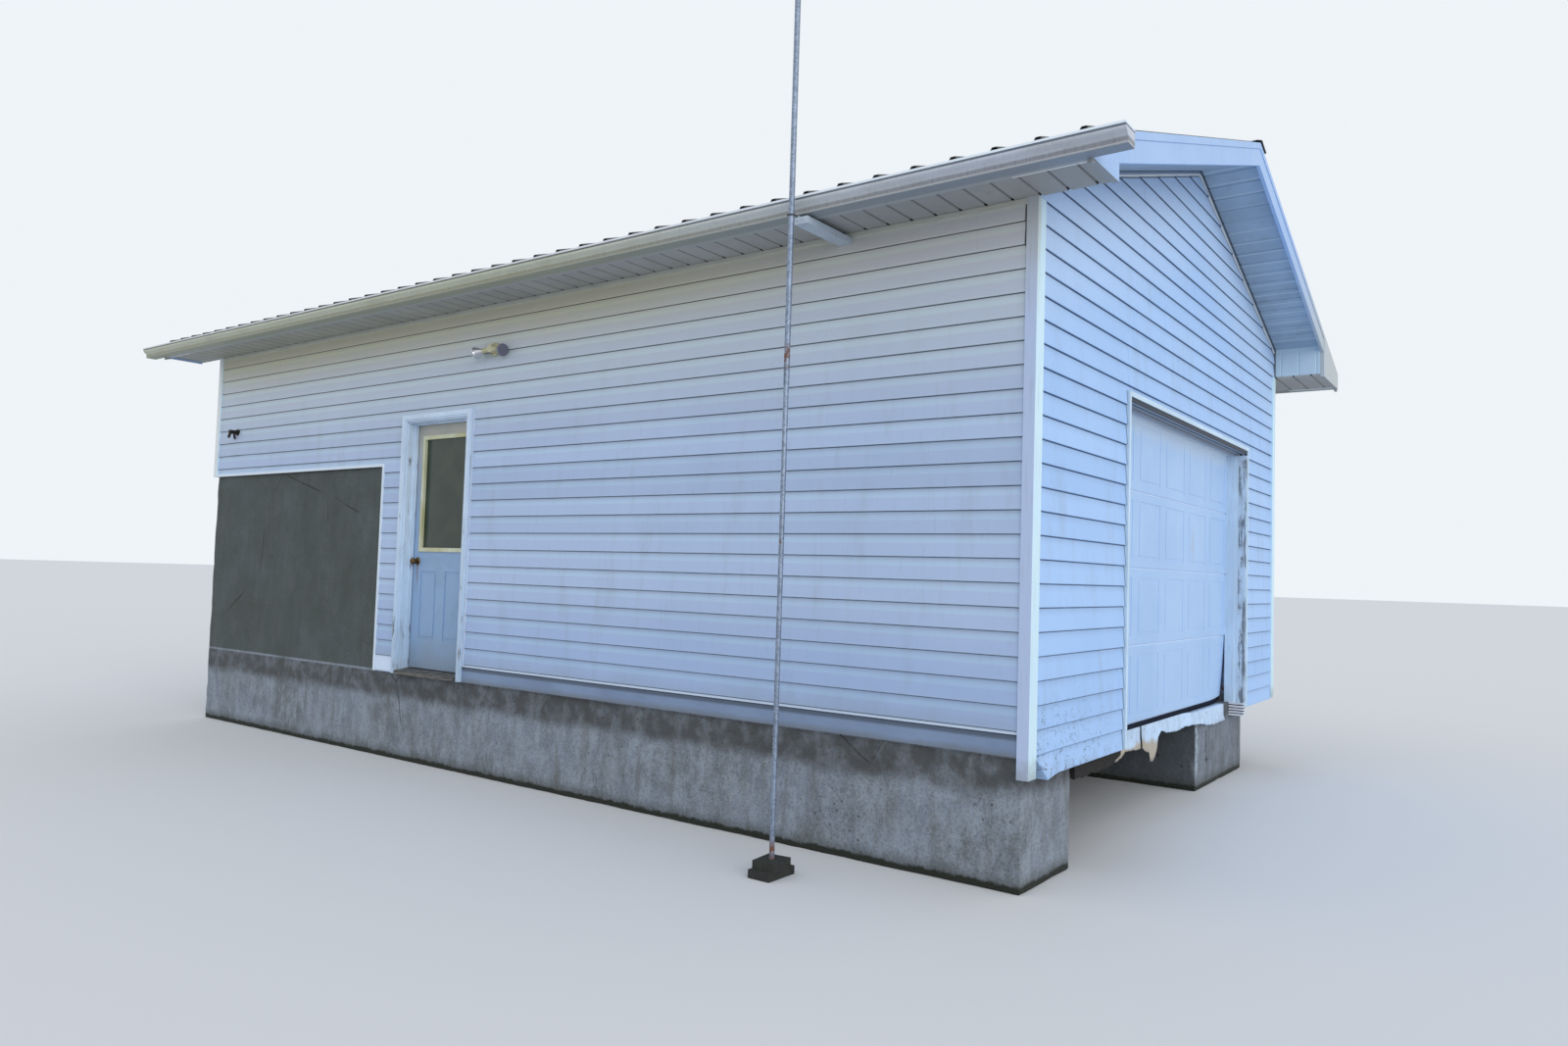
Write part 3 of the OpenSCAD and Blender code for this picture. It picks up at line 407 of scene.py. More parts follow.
def grooved_panel(start, end, width, depth):
    """Rings of a panel that runs from start to end, with grooves in its underside across the run.
    width is the vector of the panel's other side, depth the one into its thickness."""
    run = end - start
    length = run.length
    marks = [(0, 0)]
    at = groove_step / 2
    while at < length - groove_half - groove_bed:
        marks += [(at - groove_half, 0), (at - groove_bed, 1), (at + groove_bed, 1), (at + groove_half, 0)]
        at += groove_step
    marks.append((length, 0))
    inward = depth.normalized() * groove_deep
    rings = []
    for u, deep in marks:
        p = start + run * (u / length)
        rings.append((p + inward * deep, p + inward * deep + width, p + depth + width, p + depth))
    return rings


def dusty_vinyl(name, across_axis, tint, seam):
    material, place = begin(name)
    parts = place.parts()
    half_step = groove_step / 2
    from_middle = abs((parts[across_axis] + 4.78 - half_step) % groove_step - half_step)
    # The grooves are painted their own tone: darker as shade on the eave panels, lighter as light on the rake panels.
    fold = from_middle.rise(half_step - 0.01, half_step - 0.003)
    cobweb = place.cloud(0.09, 5, 0.65).rise(0.55, 0.8)
    panel = layered(
        tint,
        (place.cloud(0.5, 4).rise(0.3, 0.7), 1, tuple(c * 0.82 for c in tint[:3]) + (1,)),
        (cobweb, 0.35, 110, 112, 104),
        (fold, 0.6, seam))
    if across_axis == 1:
        from_wall = abs(parts[0] - 0.5 * (wall_left + wall_right)) - 0.5 * (wall_right - wall_left)
        # Each groove's mouth by the channel at the wall is painted near black as shade.
        groove_mouth_shade = from_middle.rise(half_step - 0.0095, half_step - 0.007) * from_wall.rise(0.042, 0.036)
        panel = (parts[1].rise(-2.5, 3.0) * 0.85).mix(panel, panel * (1.0, 0.985, 0.84))
        panel = groove_mouth_shade.mix(panel, (14, 15, 16))
    else:
        # On the rakes the upright panel past the right wall is painted lighter as light, and a strip along the wall
        # painted dark as shade in the channel.
        panel = layered(
            panel,
            (parts[0].rise(wall_right - 0.004, wall_right + 0.004), 0.9, 206, 228, 240),
            (abs(parts[1]).rise(4.4, 4.394), 0.8, 58, 64, 72))
    return coat(material, place, place.cloud(0.3) * 0.4, 0.002, Base_Color=panel, Roughness=0.55)


eave_vinyl = dusty_vinyl("eave_soffit_vinyl", 1, rgb(176, 177, 176), rgb(98, 101, 102))
rake_vinyl = dusty_vinyl("rake_soffit_vinyl", 0, rgb(166, 188, 210), rgb(206, 222, 232))
thick = Vector((0, 0, soffit_head - soffit_foot))
panels = [grooved_panel(Vector((near, rake_in, soffit_foot)), Vector((near, -rake_in, soffit_foot)),
                        Vector((far - near, 0, 0)), thick)
          for near, far in ((tail_left, wall_left), (wall_right, tail_right))]
eave_panels = piece("eave_soffit_panels", panels, eave_vinyl)
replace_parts(eave_panels, "eave_soffits")

panels, drop, thin = [], 0.113, 0.012
for end in (-1, 1):
    wall_y, outer_y = (wall_front, rake_in) if end < 0 else (wall_back, -rake_in)
    width = Vector((0, outer_y - wall_y, 0))
    for edge in (wall_left - thin, wall_right + thin):
        foot = Vector((edge, wall_y, ridge_z - abs(edge - ridge_x) * fall - drop))
        top = Vector((ridge_x, wall_y, ridge_z - drop))
        normal = Vector((math.copysign(math.sin(pitch), edge - ridge_x), 0, math.cos(pitch)))
        panels.append(grooved_panel(top, foot, width, normal * thin))
        inner = wall_left if edge < ridge_x else wall_right
        down = Vector((0, 0, foot.z + drop - 0.104 - soffit_head))
        panels.append(grooved_panel(Vector((inner, wall_y, soffit_head)), Vector((inner, outer_y, soffit_head)),
                                    down, Vector((edge - inner, 0, 0))))
rake_panels = piece("rake_soffit_panels", panels, rake_vinyl)
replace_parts(rake_panels, "rake_soffits")

# Corner posts: formed white vinyl, one length at each corner, nailed through hidden flanges.
# The lake posts hang past the ledges; scuffed, yellowed near the top and split a little at the foot.
post_vinyl, place = begin("corner_post_vinyl")
x, y, z = place.parts()
age = z.uneven(place, 0.25, 0.3, 4).rise(2.9, 3.6) * (x + 2.86).rise(0.0, -0.05) * y.rise(4.3, 3)
grime = (place * (1, 1, 0.08)).cloud(0.02, 5, 0.6).rise(0.52, 0.8)
vinyl = layered(
    (212, 242, 255),
    (place.cloud(0.5).rise(0.3, 0.7), 1, 218, 245, 255),
    # The left-facing faces are painted darker than the lake faces as shade, greyer and lighter toward the bank.
    (x.rise(-2.9185, -2.9205), 1, y.rise(-1, 4).mix((186, 203, 234), (226, 232, 232))),
    (age, 0.55, 190, 182, 150),
    (grime, 0.25, 130, 136, 134),
    (z.uneven(place, 0.12, 0.05, 4).rise(0.72, 0.6), 0.45, 124, 120, 100))
coat(post_vinyl, place, place.cloud(0.12, 2) + 0.1 * (place * (1, 1, 0.05)).cloud(0.004, 3), 0.0015,
     Base_Color=vinyl, Roughness=0.42)
dress(post_vinyl, "corner_posts")

# Lap siding: white vinyl in courses of 127 mm, two to a panel about 3.66 m long, hooked together and nailed.
# Each butt has a painted shadow line under it; panels ripple a little, lap at staggered seams and take dirt, yellow
# under the eave.
front_y, post_side, post_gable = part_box("boat_door_frame")[0].y + 0.004, 0.058, 0.099
left_x, right_x, back_y = wall_left - 0.018, wall_right + 0.018, wall_back + 0.018
datum, course = 1.85, 0.127
face_rises = (0, 0.0012, 0.0045, 0.119, 0.127)
face_stands = (0.0085, 0.0165, 0.0176, 0.0066, 0.0054)
panel_pitch, panel_length, lap_rise, hair = 3.63, 3.655, 0.0012, 1e-6


def stand_at(rise):
    for i in range(4):
        if rise <= face_rises[i + 1]:
            share = (rise - face_rises[i]) / (face_rises[i + 1] - face_rises[i])
            return face_stands[i] + share * (face_stands[i + 1] - face_stands[i])
    return face_stands[-1]


def lap_siding(name, stand, stretches, foot, head, breaks, material, marks=()):
    """Courses on one wall. stand(u, out, z) is a point of it, stretches(z) the clear lengths at that height,
    breaks the heights where these change, and marks (u, z, radius, push) its dents and bulges."""
    panels = []
    k = math.floor((foot - datum) / course + hair)
    while datum + k * course < head - 0.006:
        base = datum + k * course
        dice = random.Random(name + str(k // 2))
        seams = [-12 + dice.uniform(0, 3.66)]
        while seams[-1] < 12:
            seams.append(seams[-1] + panel_pitch)
        levels = {max(foot, base), min(head, base + course)} | {b for b in breaks if base < b < base + course}
        levels = sorted(v for v in levels if foot - hair <= v <= head + hair)
        for low, high in zip(levels, levels[1:]):
            heights = [low] + [base + r for r in face_rises if low + 5e-4 < base + r < high - 5e-4] + [high]
            for n, _ in enumerate(stretches((low + high) / 2)):
                limits = [stretches(min(max(h, low + 1e-5), high - 1e-5))[n] for h in heights]
                u_min, u_max = min(v[0] for v in limits), max(v[1] for v in limits)
                for s in seams:
                    e = s + panel_length
                    if e < u_min + 0.03 or s > u_max - 0.03:
                        continue
                    span = min(e, u_max) - max(s, u_min)
                    columns = max(2, int(span / 0.28) + 2)
                    rings = []
                    for c in range(columns):
                        t = c / (columns - 1)
                        front, back = [], []
                        for h, (w0, w1) in zip(heights, limits):
                            p0 = min(max(s, w0), w1)
                            p1 = max(min(e, w1), w0)
                            u = p0 + (max(p1, p0) - p0) * t
                            out = stand_at(h - base) + lap_rise * (1 - (u - s) / panel_length)
                            out += 0.0007 * noise.noise(Vector((u * 1.7, h * 9, len(name))))
                            for mu, mz, radius, push in marks:
                                out += push * math.exp(-((u - mu) ** 2 + (h - mz) ** 2) / radius**2)
                            front.append(stand(u, max(out, 0.001), h))
                            back.append(stand(u, 0.0004, h))
                        rings.append(front + [back[-1], back[0]])
                    panels.append(rings)
        k += 1
    piece(name, panels, material)


(opening_x0, _, _), (opening_x1, _, opening_top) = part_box("boat_door_trim")


def vinyl_siding(name, pale, deep, shadow, yellow, along_axis):
    material, place = begin(name)
    parts = place.parts()
    along, z = parts[along_axis], parts[2]
    rise = (z - (datum - 20 * course)) % course
    courses_up = (z - datum) * (1 / course)
    number = z.node("Math", {"operation": "FLOOR"}, courses_up)
    shade = z.node("TexWhiteNoise", {"noise_dimensions": "1D"}, number, out="Value")
    emboss = (place * ((1, 0.08, 1) if along_axis == 1 else (0.08, 1, 1))).cloud(0.005, 4, 0.6)
    soft = place.cloud(0.9, 4)
    film = (place * (1, 1, 0.25)).cloud(0.14, 5, 0.6)
    streak = (place * (1, 1, 0.07)).cloud(0.022, 5, 0.65).rise(0.55, 0.8)
    speck = place.spots(0.055).rise(0.07, 0.03) * place.cloud(0.5).rise(0.5, 0.62)
    tone = layered(
        pale,
        ((0.55 * shade + 0.8 * (soft - 0.3)).rise(0.1, 0.9), 1, deep),
        (film.rise(0.5, 0.78), 0.22, 150, 157, 152),
        (streak, 0.2, 128, 134, 130),
        # Each course darkens toward its top, under the next butt: painted shade, mottled by the dirt film.
        ((rise.rise(0.075, 0.122) * 0.16) * (0.5 + film), 1, 112, 124, 132),
        (speck, 0.5, 92, 92, 80))
    if yellow:
        tone = layered(
            tone,
            (z.uneven(place, 0.1, 0.4, 4).rise(2.3, 3.3), 0.8, 200, 208, 211),
            (z.uneven(place, 0.12, 0.4, 4).rise(3.12, 3.56), 0.85,
             along.rise(-4.4, -1.0).mix((204, 202, 196), (206, 199, 166))),
            (z.uneven(place, 0.15, 0.25, 4).rise(1.5, 1.0), 0.35, 150, 180, 222),
            (z.uneven(place, 0.15, 0.25, 4).rise(0.95, 0.8), 0.25, 132, 134, 122))
        # Across each course a painted highlight where the face turns to the light, and a painted shade band below it.
        course_highlight_band = rise.rise(0.110, 0.100) * rise.rise(0.072, 0.084)
        tone = course_highlight_band.mix(tone, tone * (1.02, 1.07, 1.06))
        course_shade_band = rise.rise(0.078, 0.068) * rise.rise(0.007, 0.011)
        tone = course_shade_band.mix(tone, tone * (0.95, 0.95, 1.0))
    else:
        under_roof = z + abs(along - ridge_x) * fall
        # A painted shadow along the top of the gable siding where it runs into the rake channel.
        rake_channel_shadow = under_roof.rise(ridge_z - drop - 0.05, ridge_z - drop - 0.044)
        knocks = (place * (1.0, 1.0, 2.0) + 0.03 * place.cloud(0.06)).spots(0.07, "DISTANCE_TO_EDGE").rise(0.05, 0.02)
        worn = z.uneven(place, 0.2, 0.3, 4).rise(1.15, 0.62) * along.rise(-1.3, -2.3)
        worn = worn * place.cloud(0.05, 3).rise(0.5, 0.6)
        splashed = z.uneven(place, 0.1, 0.08, 5).rise(0.68, 0.58) * place.cloud(0.1, 5).rise(0.4, 0.6)
        from_trim = abs(along - 0.5 * (opening_x0 + opening_x1)) - 0.5 * (opening_x1 - opening_x0)
        # A dark line on the siding beside the boat door's cover strip: painted shade of the gap.
        trim_gap_shadow = abs(from_trim - 0.003).rise(0.009, 0.004) * z.rise(opening_top + 0.004, opening_top)
        tone = layered(
            tone,
            # Lighter toward the rakes: painted light against the shade of the roof overhang.
            (under_roof.rise(ridge_z - 1.15, ridge_z - 0.2), 0.75, 202, 224, 250),
            (rake_channel_shadow, 0.8, 70, 78, 90),
            (knocks * worn, 0.85, 58, 60, 62),
            (splashed * along.rise(-1.2, -2.2), 0.25, 120, 112, 96),
            (trim_gap_shadow, 0.8, 44, 52, 64))
    # Under each butt a painted shadow line, and the butt's underside painted in the same shade.
    line = 0.1222 if yellow else 0.1205
    butt = (rise.rise(line, line + 0.002) + rise.rise(0.0012, 0.0002)).rise(0.0, 1.0)
    tone = (butt * (0.84 if yellow else 0.9)).mix(tone, shadow)
    if yellow:
        # The foot of the lowest course on the left wall is painted nearly white as a highlight.
        starter_highlight = z.rise(0.8295, 0.8285) * parts[0].rise(0, -0.01)
        tone = starter_highlight.mix(tone, (214, 230, 250))
    relief = emboss * 0.12 + place.cloud(0.3, 2) * 0.8
    return coat(material, place, relief, 0.0022, Base_Color=tone, Roughness=0.4 + 0.2 * film)


# One siding in two copies: the gables' painted bluer as light from the open sky, the side walls' duller as shade.
side_vinyl = vinyl_siding("side_siding_vinyl", (184, 204, 232), (172, 192, 220), (72, 84, 94), True, 1)
gable_vinyl = vinyl_siding("gable_siding_vinyl", (174, 209, 252), (164, 201, 247), (62, 84, 116), False, 0)
wall_foot, skirt_top, step_y, raised_top, trim_step = 0.70, 0.815, 1.435, 2.41, 0.024
casing_y0, casing_y1, casing_top, gap_foot = 0.247, 1.145, 2.818, 3.366
post_y0, post_y1 = front_y + post_side, back_y - post_side


def left_stretches(z):
    if z < skirt_top:
        return [(casing_y1, step_y - trim_step)]
    if z < raised_top + trim_step:
        return [(post_y0, casing_y0), (casing_y1, step_y - trim_step)]
    if z < casing_top:
        return [(post_y0, casing_y0), (casing_y1, post_y1)]
    return [(post_y0 + (0.014 if z > gap_foot else 0), post_y1)]


def right_stretches(z):
    return [(post_y0, step_y)] if z < raised_top else [(post_y0, post_y1)]


post_x0, post_x1 = left_x + post_gable, right_x - post_gable


def gable_stretch(z):
    reach = (ridge_z - drop - z) / fall
    low, high = (post_x0, post_x1) if z < soffit_foot else (wall_left, wall_right)
    return max(low, ridge_x - reach), min(high, ridge_x + reach)


def front_stretches(z):
    low, high = gable_stretch(z)
    low += 0.5 * max(0, 0.705 - z)
    return [(low, opening_x0), (opening_x1, high)] if z < opening_top else [(low, high)]


lap_siding("left_siding", lambda u, out, z: (wall_left - out, u, z), left_stretches, wall_foot, soffit_foot,
           (skirt_top, raised_top + trim_step, casing_top, gap_foot), side_vinyl,
           ((-2.1, 1.1, 0.12, -0.003), (-0.6, 1.3, 0.15, 0.002), (3.9, 2.64, 0.2, 0.016), (2.6, 3.1, 0.2, 0.004)))
lap_siding("right_siding", lambda u, out, z: (wall_right + out, u, z), right_stretches, wall_foot, soffit_foot,
           (raised_top,), side_vinyl)
lap_siding("lake_gable_siding", lambda u, out, z: (u, wall_front - out, z), front_stretches, 0.58,
           ridge_z - drop - 0.01, (opening_top, soffit_foot), gable_vinyl,
           ((-2.79, 0.57, 0.1, 0.052), (-2.62, 0.59, 0.07, -0.006), (-2.2, 0.93, 0.06, -0.004),
            (-1.8, 0.72, 0.05, -0.005), (-2.45, 0.66, 0.04, -0.004)))
lap_siding("back_gable_siding", lambda u, out, z: (u, wall_back + out, z), lambda z: [gable_stretch(z)], raised_top,
           ridge_z - drop - 0.01, (soffit_foot,), gable_vinyl)

# Channels: roll-formed white strips that take the cut ends of the siding under the soffits, along the rakes,
# beside the casing and at the foot. A rounded lip 22 mm wide, yellowed like the siding under the eave.
channel_vinyl, place = begin("channel_vinyl")
x, y, z = place.parts()
rake_rise = z + abs(x - ridge_x) * fall
strip = layered(
    (200, 214, 234),
    (place.cloud(0.4).rise(0.3, 0.7), 1, 188, 202, 222),
    ((z + 0.1 * place.cloud(0.3)).rise(3.3, 3.62) * (x + 2.88).rise(0.0, -0.01), 0.7, 196, 190, 160),
    ((place * (1, 0.1, 1)).cloud(0.03, 4).rise(0.5, 0.8), 0.35, 120, 122, 112),
    (abs(x - ridge_x).rise(3.2, 3.21), 1, 172, 174, 174),
    # On the rake channels the top edge under the soffit is painted dark as shade, the face below lighter.
    (rake_rise.rise(4.7, 4.72) * abs(y).rise(4.375, 4.38), 1,
     rake_rise.rise(4.746, 4.742).mix((130, 150, 178), (240, 243, 242))))
coat(channel_vinyl, place, place.cloud(0.1), 0.001, Base_Color=strip, Roughness=0.45)
channels = []


def channel(a, b, inward, out, face=0.022, proud=0.0195):
    a, b, inward, out = (Vector(v) for v in (a, b, inward, out))
    section = ((0, 0), (face, 0), (face, proud - 0.004), (face - 0.003, proud), (0.003, proud), (0, proud - 0.003))
    channels.append([[end + inward * s + out * o for s, o in section] for end in (a, b)])


for wall_x, out_x, tail_x in ((wall_left, -1, tail_left), (wall_right, 1, tail_right)):
    channel((wall_x, post_y0, soffit_foot), (wall_x, post_y1, soffit_foot), (0, 0, -1), (out_x, 0, 0), 0.032)
    channel((tail_x, rake_in, soffit_foot), (tail_x, -rake_in, soffit_foot), (-out_x, 0, 0), (0, 0, -1), 0.037, 0.006)
channel((wall_right, post_y0, wall_foot), (wall_right, step_y, wall_foot), (0, 0, 1), (1, 0, 0))
channel((wall_right, step_y, wall_foot), (wall_right, step_y, raised_top), (0, -1, 0), (1, 0, 0))
channel((wall_right, step_y - 0.022, raised_top), (wall_right, post_y1, raised_top), (0, 0, 1), (1, 0, 0))
slim = 0.016
channel((wall_left, casing_y0, skirt_top), (wall_left, casing_y0, casing_top), (0, -1, 0), (-1, 0, 0), slim)
channel((wall_left, casing_y1, wall_foot), (wall_left, casing_y1, casing_top), (0, 1, 0), (-1, 0, 0), slim)
channel((wall_left, casing_y0 - slim, casing_top), (wall_left, casing_y1 + slim, casing_top), (0, 0, 1), (-1, 0, 0),
        slim)
channel((post_x0, wall_back, raised_top), (post_x1, wall_back, raised_top), (0, 0, 1), (0, 1, 0))
top = Vector((ridge_x, 0, ridge_z - drop))
for wall_y, out_y in ((wall_front, -1), (wall_back, 1)):
    for edge in (wall_left, wall_right):
        down = Vector((math.copysign(math.cos(pitch), edge - ridge_x), 0, -math.sin(pitch)))
        foot = top + down * (abs(edge - ridge_x) / math.cos(pitch))
        away = Vector((math.copysign(math.sin(pitch), ridge_x - edge), 0, -math.cos(pitch)))
        channel(top + Vector((0, wall_y, 0)), foot + Vector((0, wall_y, 0)), away, (0, out_y, 0), 0.034)
piece("siding_channels", channels, channel_vinyl)

# Skirt and step trims: painted sheet bent over the foot of the side wall, dented and stained by splash,
# and the white strips where the siding steps up over the raised concrete.
skirt_sheet, place = begin("skirt_sheet")
x, y, z = place.parts()
base = layered(
    (133, 154, 184),
    (place.cloud(0.4, 4).rise(0.3, 0.7), 1, 120, 139, 168),
    (z.uneven(place, 0.05, 0.1, 4).rise(0.745, 0.7), 0.5, 106, 104, 92),
    # A painted shadow line along the top of the skirt, under the siding's foot.
    (z.rise(0.776, 0.796), 0.75, 62, 72, 84),
    (y.rise(1.36, 1.38), 0.9, 230, 243, 255))
coat(skirt_sheet, place, place.cloud(0.16, 3), 0.004, Base_Color=base, Roughness=0.5)
dress(skirt_sheet, "base_trims")


# Man-door frame: painted softwood jambs, stops and brick-mould casing, with three butt hinges let in inside.
# The paint has flaked near the foot and along the arrises, and shows grey wood.
def flaking_paint(name, paint, wood, wear, worn_from=None, worn_to=None, shade_toward_foot=0, iron_from=None):
    """worn_from and worn_to are the y between which the boat door's jambs peel; iron_from is the x where an arm's
    steel begins; shade_toward_foot is how far the paint is darkened toward the foot as painted shade."""
    material, place = begin(name)
    x, y, z = place.parts()
    fibre = (place * (1, 1, 0.05)).cloud(0.005, 5, 0.65)
    flake = (place * (1, 1, 0.1) + 0.012 * place.cloud(0.05)).cloud(0.022, 6, 0.62) * 0.7 + place.cloud(0.16, 3) * 0.3
    exposed = flake + z.rise(1.7, 0.6) * 0.04 + wear
    if worn_from is not None:
        exposed = exposed + 0.17 * y.rise(worn_from, worn_to) * z.rise(2.8, 2.7)
    gone = exposed.rise(0.60, 0.635)
    thin = exposed.rise(0.53, 0.60) * (1 - gone)
    tone = layered(
        paint,
        (place.cloud(0.3).rise(0.3, 0.7), 1, tuple(c * 0.88 for c in paint[:3]) + (1,)),
        ((place * (1, 1, 0.1)).cloud(0.02, 4).rise(0.5, 0.8), 0.2, 134, 142, 150))
    # Darker toward the foot as painted shade, as far as the argument says.
    tone = (z.rise(2.3, 0.9) * shade_toward_foot).mix(tone, tone * (0.8, 0.85, 0.89))
    tone = (thin * 0.35).mix(tone, (150, 158, 168))
    if worn_from is not None:
        line = (place * (1, 1, 0.02)).cloud(0.006, 3).rise(0.62, 0.7)
        # The underside of the boat door's head is painted shade: near-black lines between its boards and a tone that
        # grows lighter toward the door.
        head_underside_shade = z.rise(2.7545, 2.7555)
        board_joints = abs(y + 4.386).rise(0.012, 0.009) + abs(y + 4.346).rise(0.011, 0.008)
        boards = y.rise(-4.285, -4.225).mix((150, 158, 170), (230, 236, 242))
        boards = ((place * (0.02, 1, 1)).cloud(0.01, 3).rise(0.55, 0.7) * 0.4).mix(boards, (84, 92, 104))
        tone = layered(
            tone,
            (line, 0.4, 104, 114, 124),
            (head_underside_shade, 1, board_joints.mix(boards, (18, 28, 46))))
    bare = fibre.rise(0.3, 0.7).mix(wood, tuple(c * 0.45 for c in wood[:3]) + (1,))
    tone = (gone * 0.85).mix(tone, bare)
    if iron_from is not None:
        tone = x.rise(iron_from, iron_from - 0.003).mix(tone, (66, 70, 78))
    return coat(material, place, fibre * 0.12 + (1 - gone) * 0.5, 0.0018, Base_Color=tone, Roughness=0.5 + 0.3 * gone)


dress(flaking_paint("casing_paint", rgb(212, 231, 250), rgb(118, 122, 122), -0.02, shade_toward_foot=1), "door_frame")
sill_metal, place = begin("worn_sill_metal")
scuff = (place * (1, 0.1, 1)).cloud(0.01, 5).rise(0.4, 0.7)
coat(sill_metal, place, scuff, 0.0008, Metallic=0.6, Roughness=0.5 + 0.2 * scuff,
     Base_Color=scuff.mix((120, 118, 112), (74, 70, 64)))
dress(sill_metal, "door_sill")

# Man door: pressed steel slab with two raised panels below a glazed lite, painted pale grey-blue.
# Handprints and splash at the foot; rust freckles at the bottom edge and a stain under the knob.
slab_paint, place = begin("door_slab_paint")
x, y, z = place.parts()
print_film = place.cloud(0.18, 5, 0.6).rise(0.45, 0.75)
rust = place.spots(0.02).rise(0.22, 0.1) * (z + 0.1 * place.cloud(0.1, 4)).rise(0.86, 0.78)
trickle = abs(y.uneven(place, 0.02, 0.1) - 1.015).rise(0.028, 0.004)
skin = layered(
    (146, 175, 210),
    (place.cloud(0.6).rise(0.3, 0.7), 1, 135, 165, 200),
    (z.rise(1.75, 2.6), 0.65, 178, 180, 172),
    (z.rise(2.4, 2.68), 0.85, 176, 172, 158),
    (print_film, 0.2, 120, 130, 138),
    (z.uneven(place, 0.3, 0.15, 4).rise(1.1, 0.75), 0.4, 118, 118, 104),
    (rust, 1, 118, 66, 36),
    (trickle * z.rise(1.3, 1.6) * (1 - z.rise(1.6, 1.64)), 0.55, 128, 84, 48))
coat(slab_paint, place, place.cloud(0.15) * 0.3 + place.cloud(0.003) * 0.05, 0.002,
     Base_Color=skin, Roughness=0.4 + 0.15 * print_film)
dress(slab_paint, "man_door")

yellowed, place = begin("yellowed_plastic")
tint = layered(
    (212, 214, 188),
    (place.cloud(0.25, 4).rise(0.3, 0.7), 1, 190, 187, 142),
    ((place * (1, 1, 0.2)).cloud(0.02, 4).rise(0.5, 0.8), 0.3, 118, 112, 84))
coat(yellowed, place, place.cloud(0.03), 0.0006, Base_Color=tint, Roughness=0.45)
dress(yellowed, "lite_frame")
pane, place = begin("dim_glass")
film = place.cloud(0.2, 4)
coat(pane, place, place.cloud(0.5), 0.0006, Roughness=0.05 + 0.1 * film, Coat_Weight=0.2 * film,
     Base_Color=film.rise(0.4, 0.8).mix((26, 42, 26), (46, 62, 44)))
dress(pane, "lite_glass")
knob_brass, place = begin("tarnished_brass")
wear = place.cloud(0.02, 4).rise(0.4, 0.65)
coat(knob_brass, place, place.cloud(0.004), 0.0003, Metallic=0.85, Roughness=0.3 + 0.3 * wear,
     Base_Color=wear.mix((124, 96, 58), (52, 40, 30)))
dress(knob_brass, "door_knobs")

# Boat-door frame: white painted softwood boards round the opening, paint flaking from the lake side.
# A white cover strip closes the siding against them.
dress(flaking_paint("jamb_paint", rgb(206, 228, 248), rgb(122, 128, 138), -0.09, -4.302, -4.345), "boat_door_frame")
dress(flaking_paint("cover_strip_paint", rgb(212, 236, 254), rgb(130, 136, 142), -0.3), "boat_door_trim")

# Boat door: four sections of white embossed steel, each with a row of raised panels, and a rubber seal below.
# Chalky, scratched, with brown leak stains that run down from the panels and rust at the bottom edge.
door_steel, place = begin("embossed_door_steel")
x, y, z = place.parts()
wood_emboss = (place * (0.12, 1, 1)).cloud(0.004, 5, 0.6)
veil = place.cloud(0.5, 5)
run_mark = (place * (1, 1, 0.05)).cloud(0.02, 5, 0.65).rise(0.54, 0.8)
blot = place.cloud(0.14, 5, 0.65).rise(0.6, 0.8) * place.cloud(0.6).rise(0.48, 0.62)
# The joints between the sections are painted light as a highlight along the sections' edges.
section_joint_highlight = abs((z - 0.661) % 0.529 - 0.2645).rise(0.2590, 0.2625)
leak = abs((x - 0.62).uneven(place, 0.03, 0.1)).rise(0.09, 0.01) * abs(z - 1.93).rise(0.22, 0.02)
tone = layered(
    (180, 211, 247),
    (veil.rise(0.3, 0.7), 1, 173, 205, 243),
    (run_mark, 0.1, 150, 150, 138),
    (blot, 0.22, 158, 148, 128),
    ((z + 0.1 * place.cloud(0.1, 4)).rise(0.75, 0.68), 0.2, 138, 132, 116),
    (section_joint_highlight, 0.7, 232, 242, 254),
    # The top of the door, under the head, is painted lighter as light against the head's shade.
    (z.rise(2.6, 2.76), 0.8, 222, 238, 252),
    (leak * place.cloud(0.03, 4).rise(0.35, 0.7), 0.4, 168, 140, 118))
coat(door_steel, place, wood_emboss * 0.2 + place.cloud(0.25) * 0.7, 0.0022,
     Base_Color=tone, Roughness=0.42 + 0.2 * veil)
dress(door_steel, "door_section_2", "door_section_3", "door_section_4")
rubber, place = begin("seal_rubber")
coat(rubber, place, place.cloud(0.01, 4), 0.001, Roughness=0.8, Specular_IOR_Level=0.15,
     Base_Color=place.cloud(0.08, 4).rise(0.4, 0.7).mix((8, 14, 34), (18, 26, 48)))


def knocked_in(node, material):
    """The node's own shape with its lower right corner pushed into the building, as after a knock by a hull."""
    push, bend_x, bend_z, foot_z = 0.05, 1.1, 1.35, 0.62
    bent = bmesh.new()
    bent.from_mesh(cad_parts[node].data)
    low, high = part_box(node)
    cuts = [((x, 0, 0), (1, 0, 0)) for x in (bend_x + 0.04 * i for i in range(int((high.x - bend_x) / 0.04) + 1))]
    cuts += [((0, 0, z), (0, 0, 1)) for z in (low.z + 0.06 * i for i in range(1, int((high.z - low.z) / 0.06) + 1))]
    for at, facing in cuts:
        slice_at(bent, at, facing)
    for v in bent.verts:
        across_bend = max(0.0, (v.co.x - bend_x) / (high.x - bend_x))
        down_bend = min(1.0, max(0.0, (bend_z - v.co.z) / (bend_z - foot_z)))
        v.co.y += push * across_bend**1.8 * down_bend**1.3
    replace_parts(show(node + "_bent", bent, material), node)


knocked_in("door_section_1", door_steel)
knocked_in("boat_door_seal", rubber)

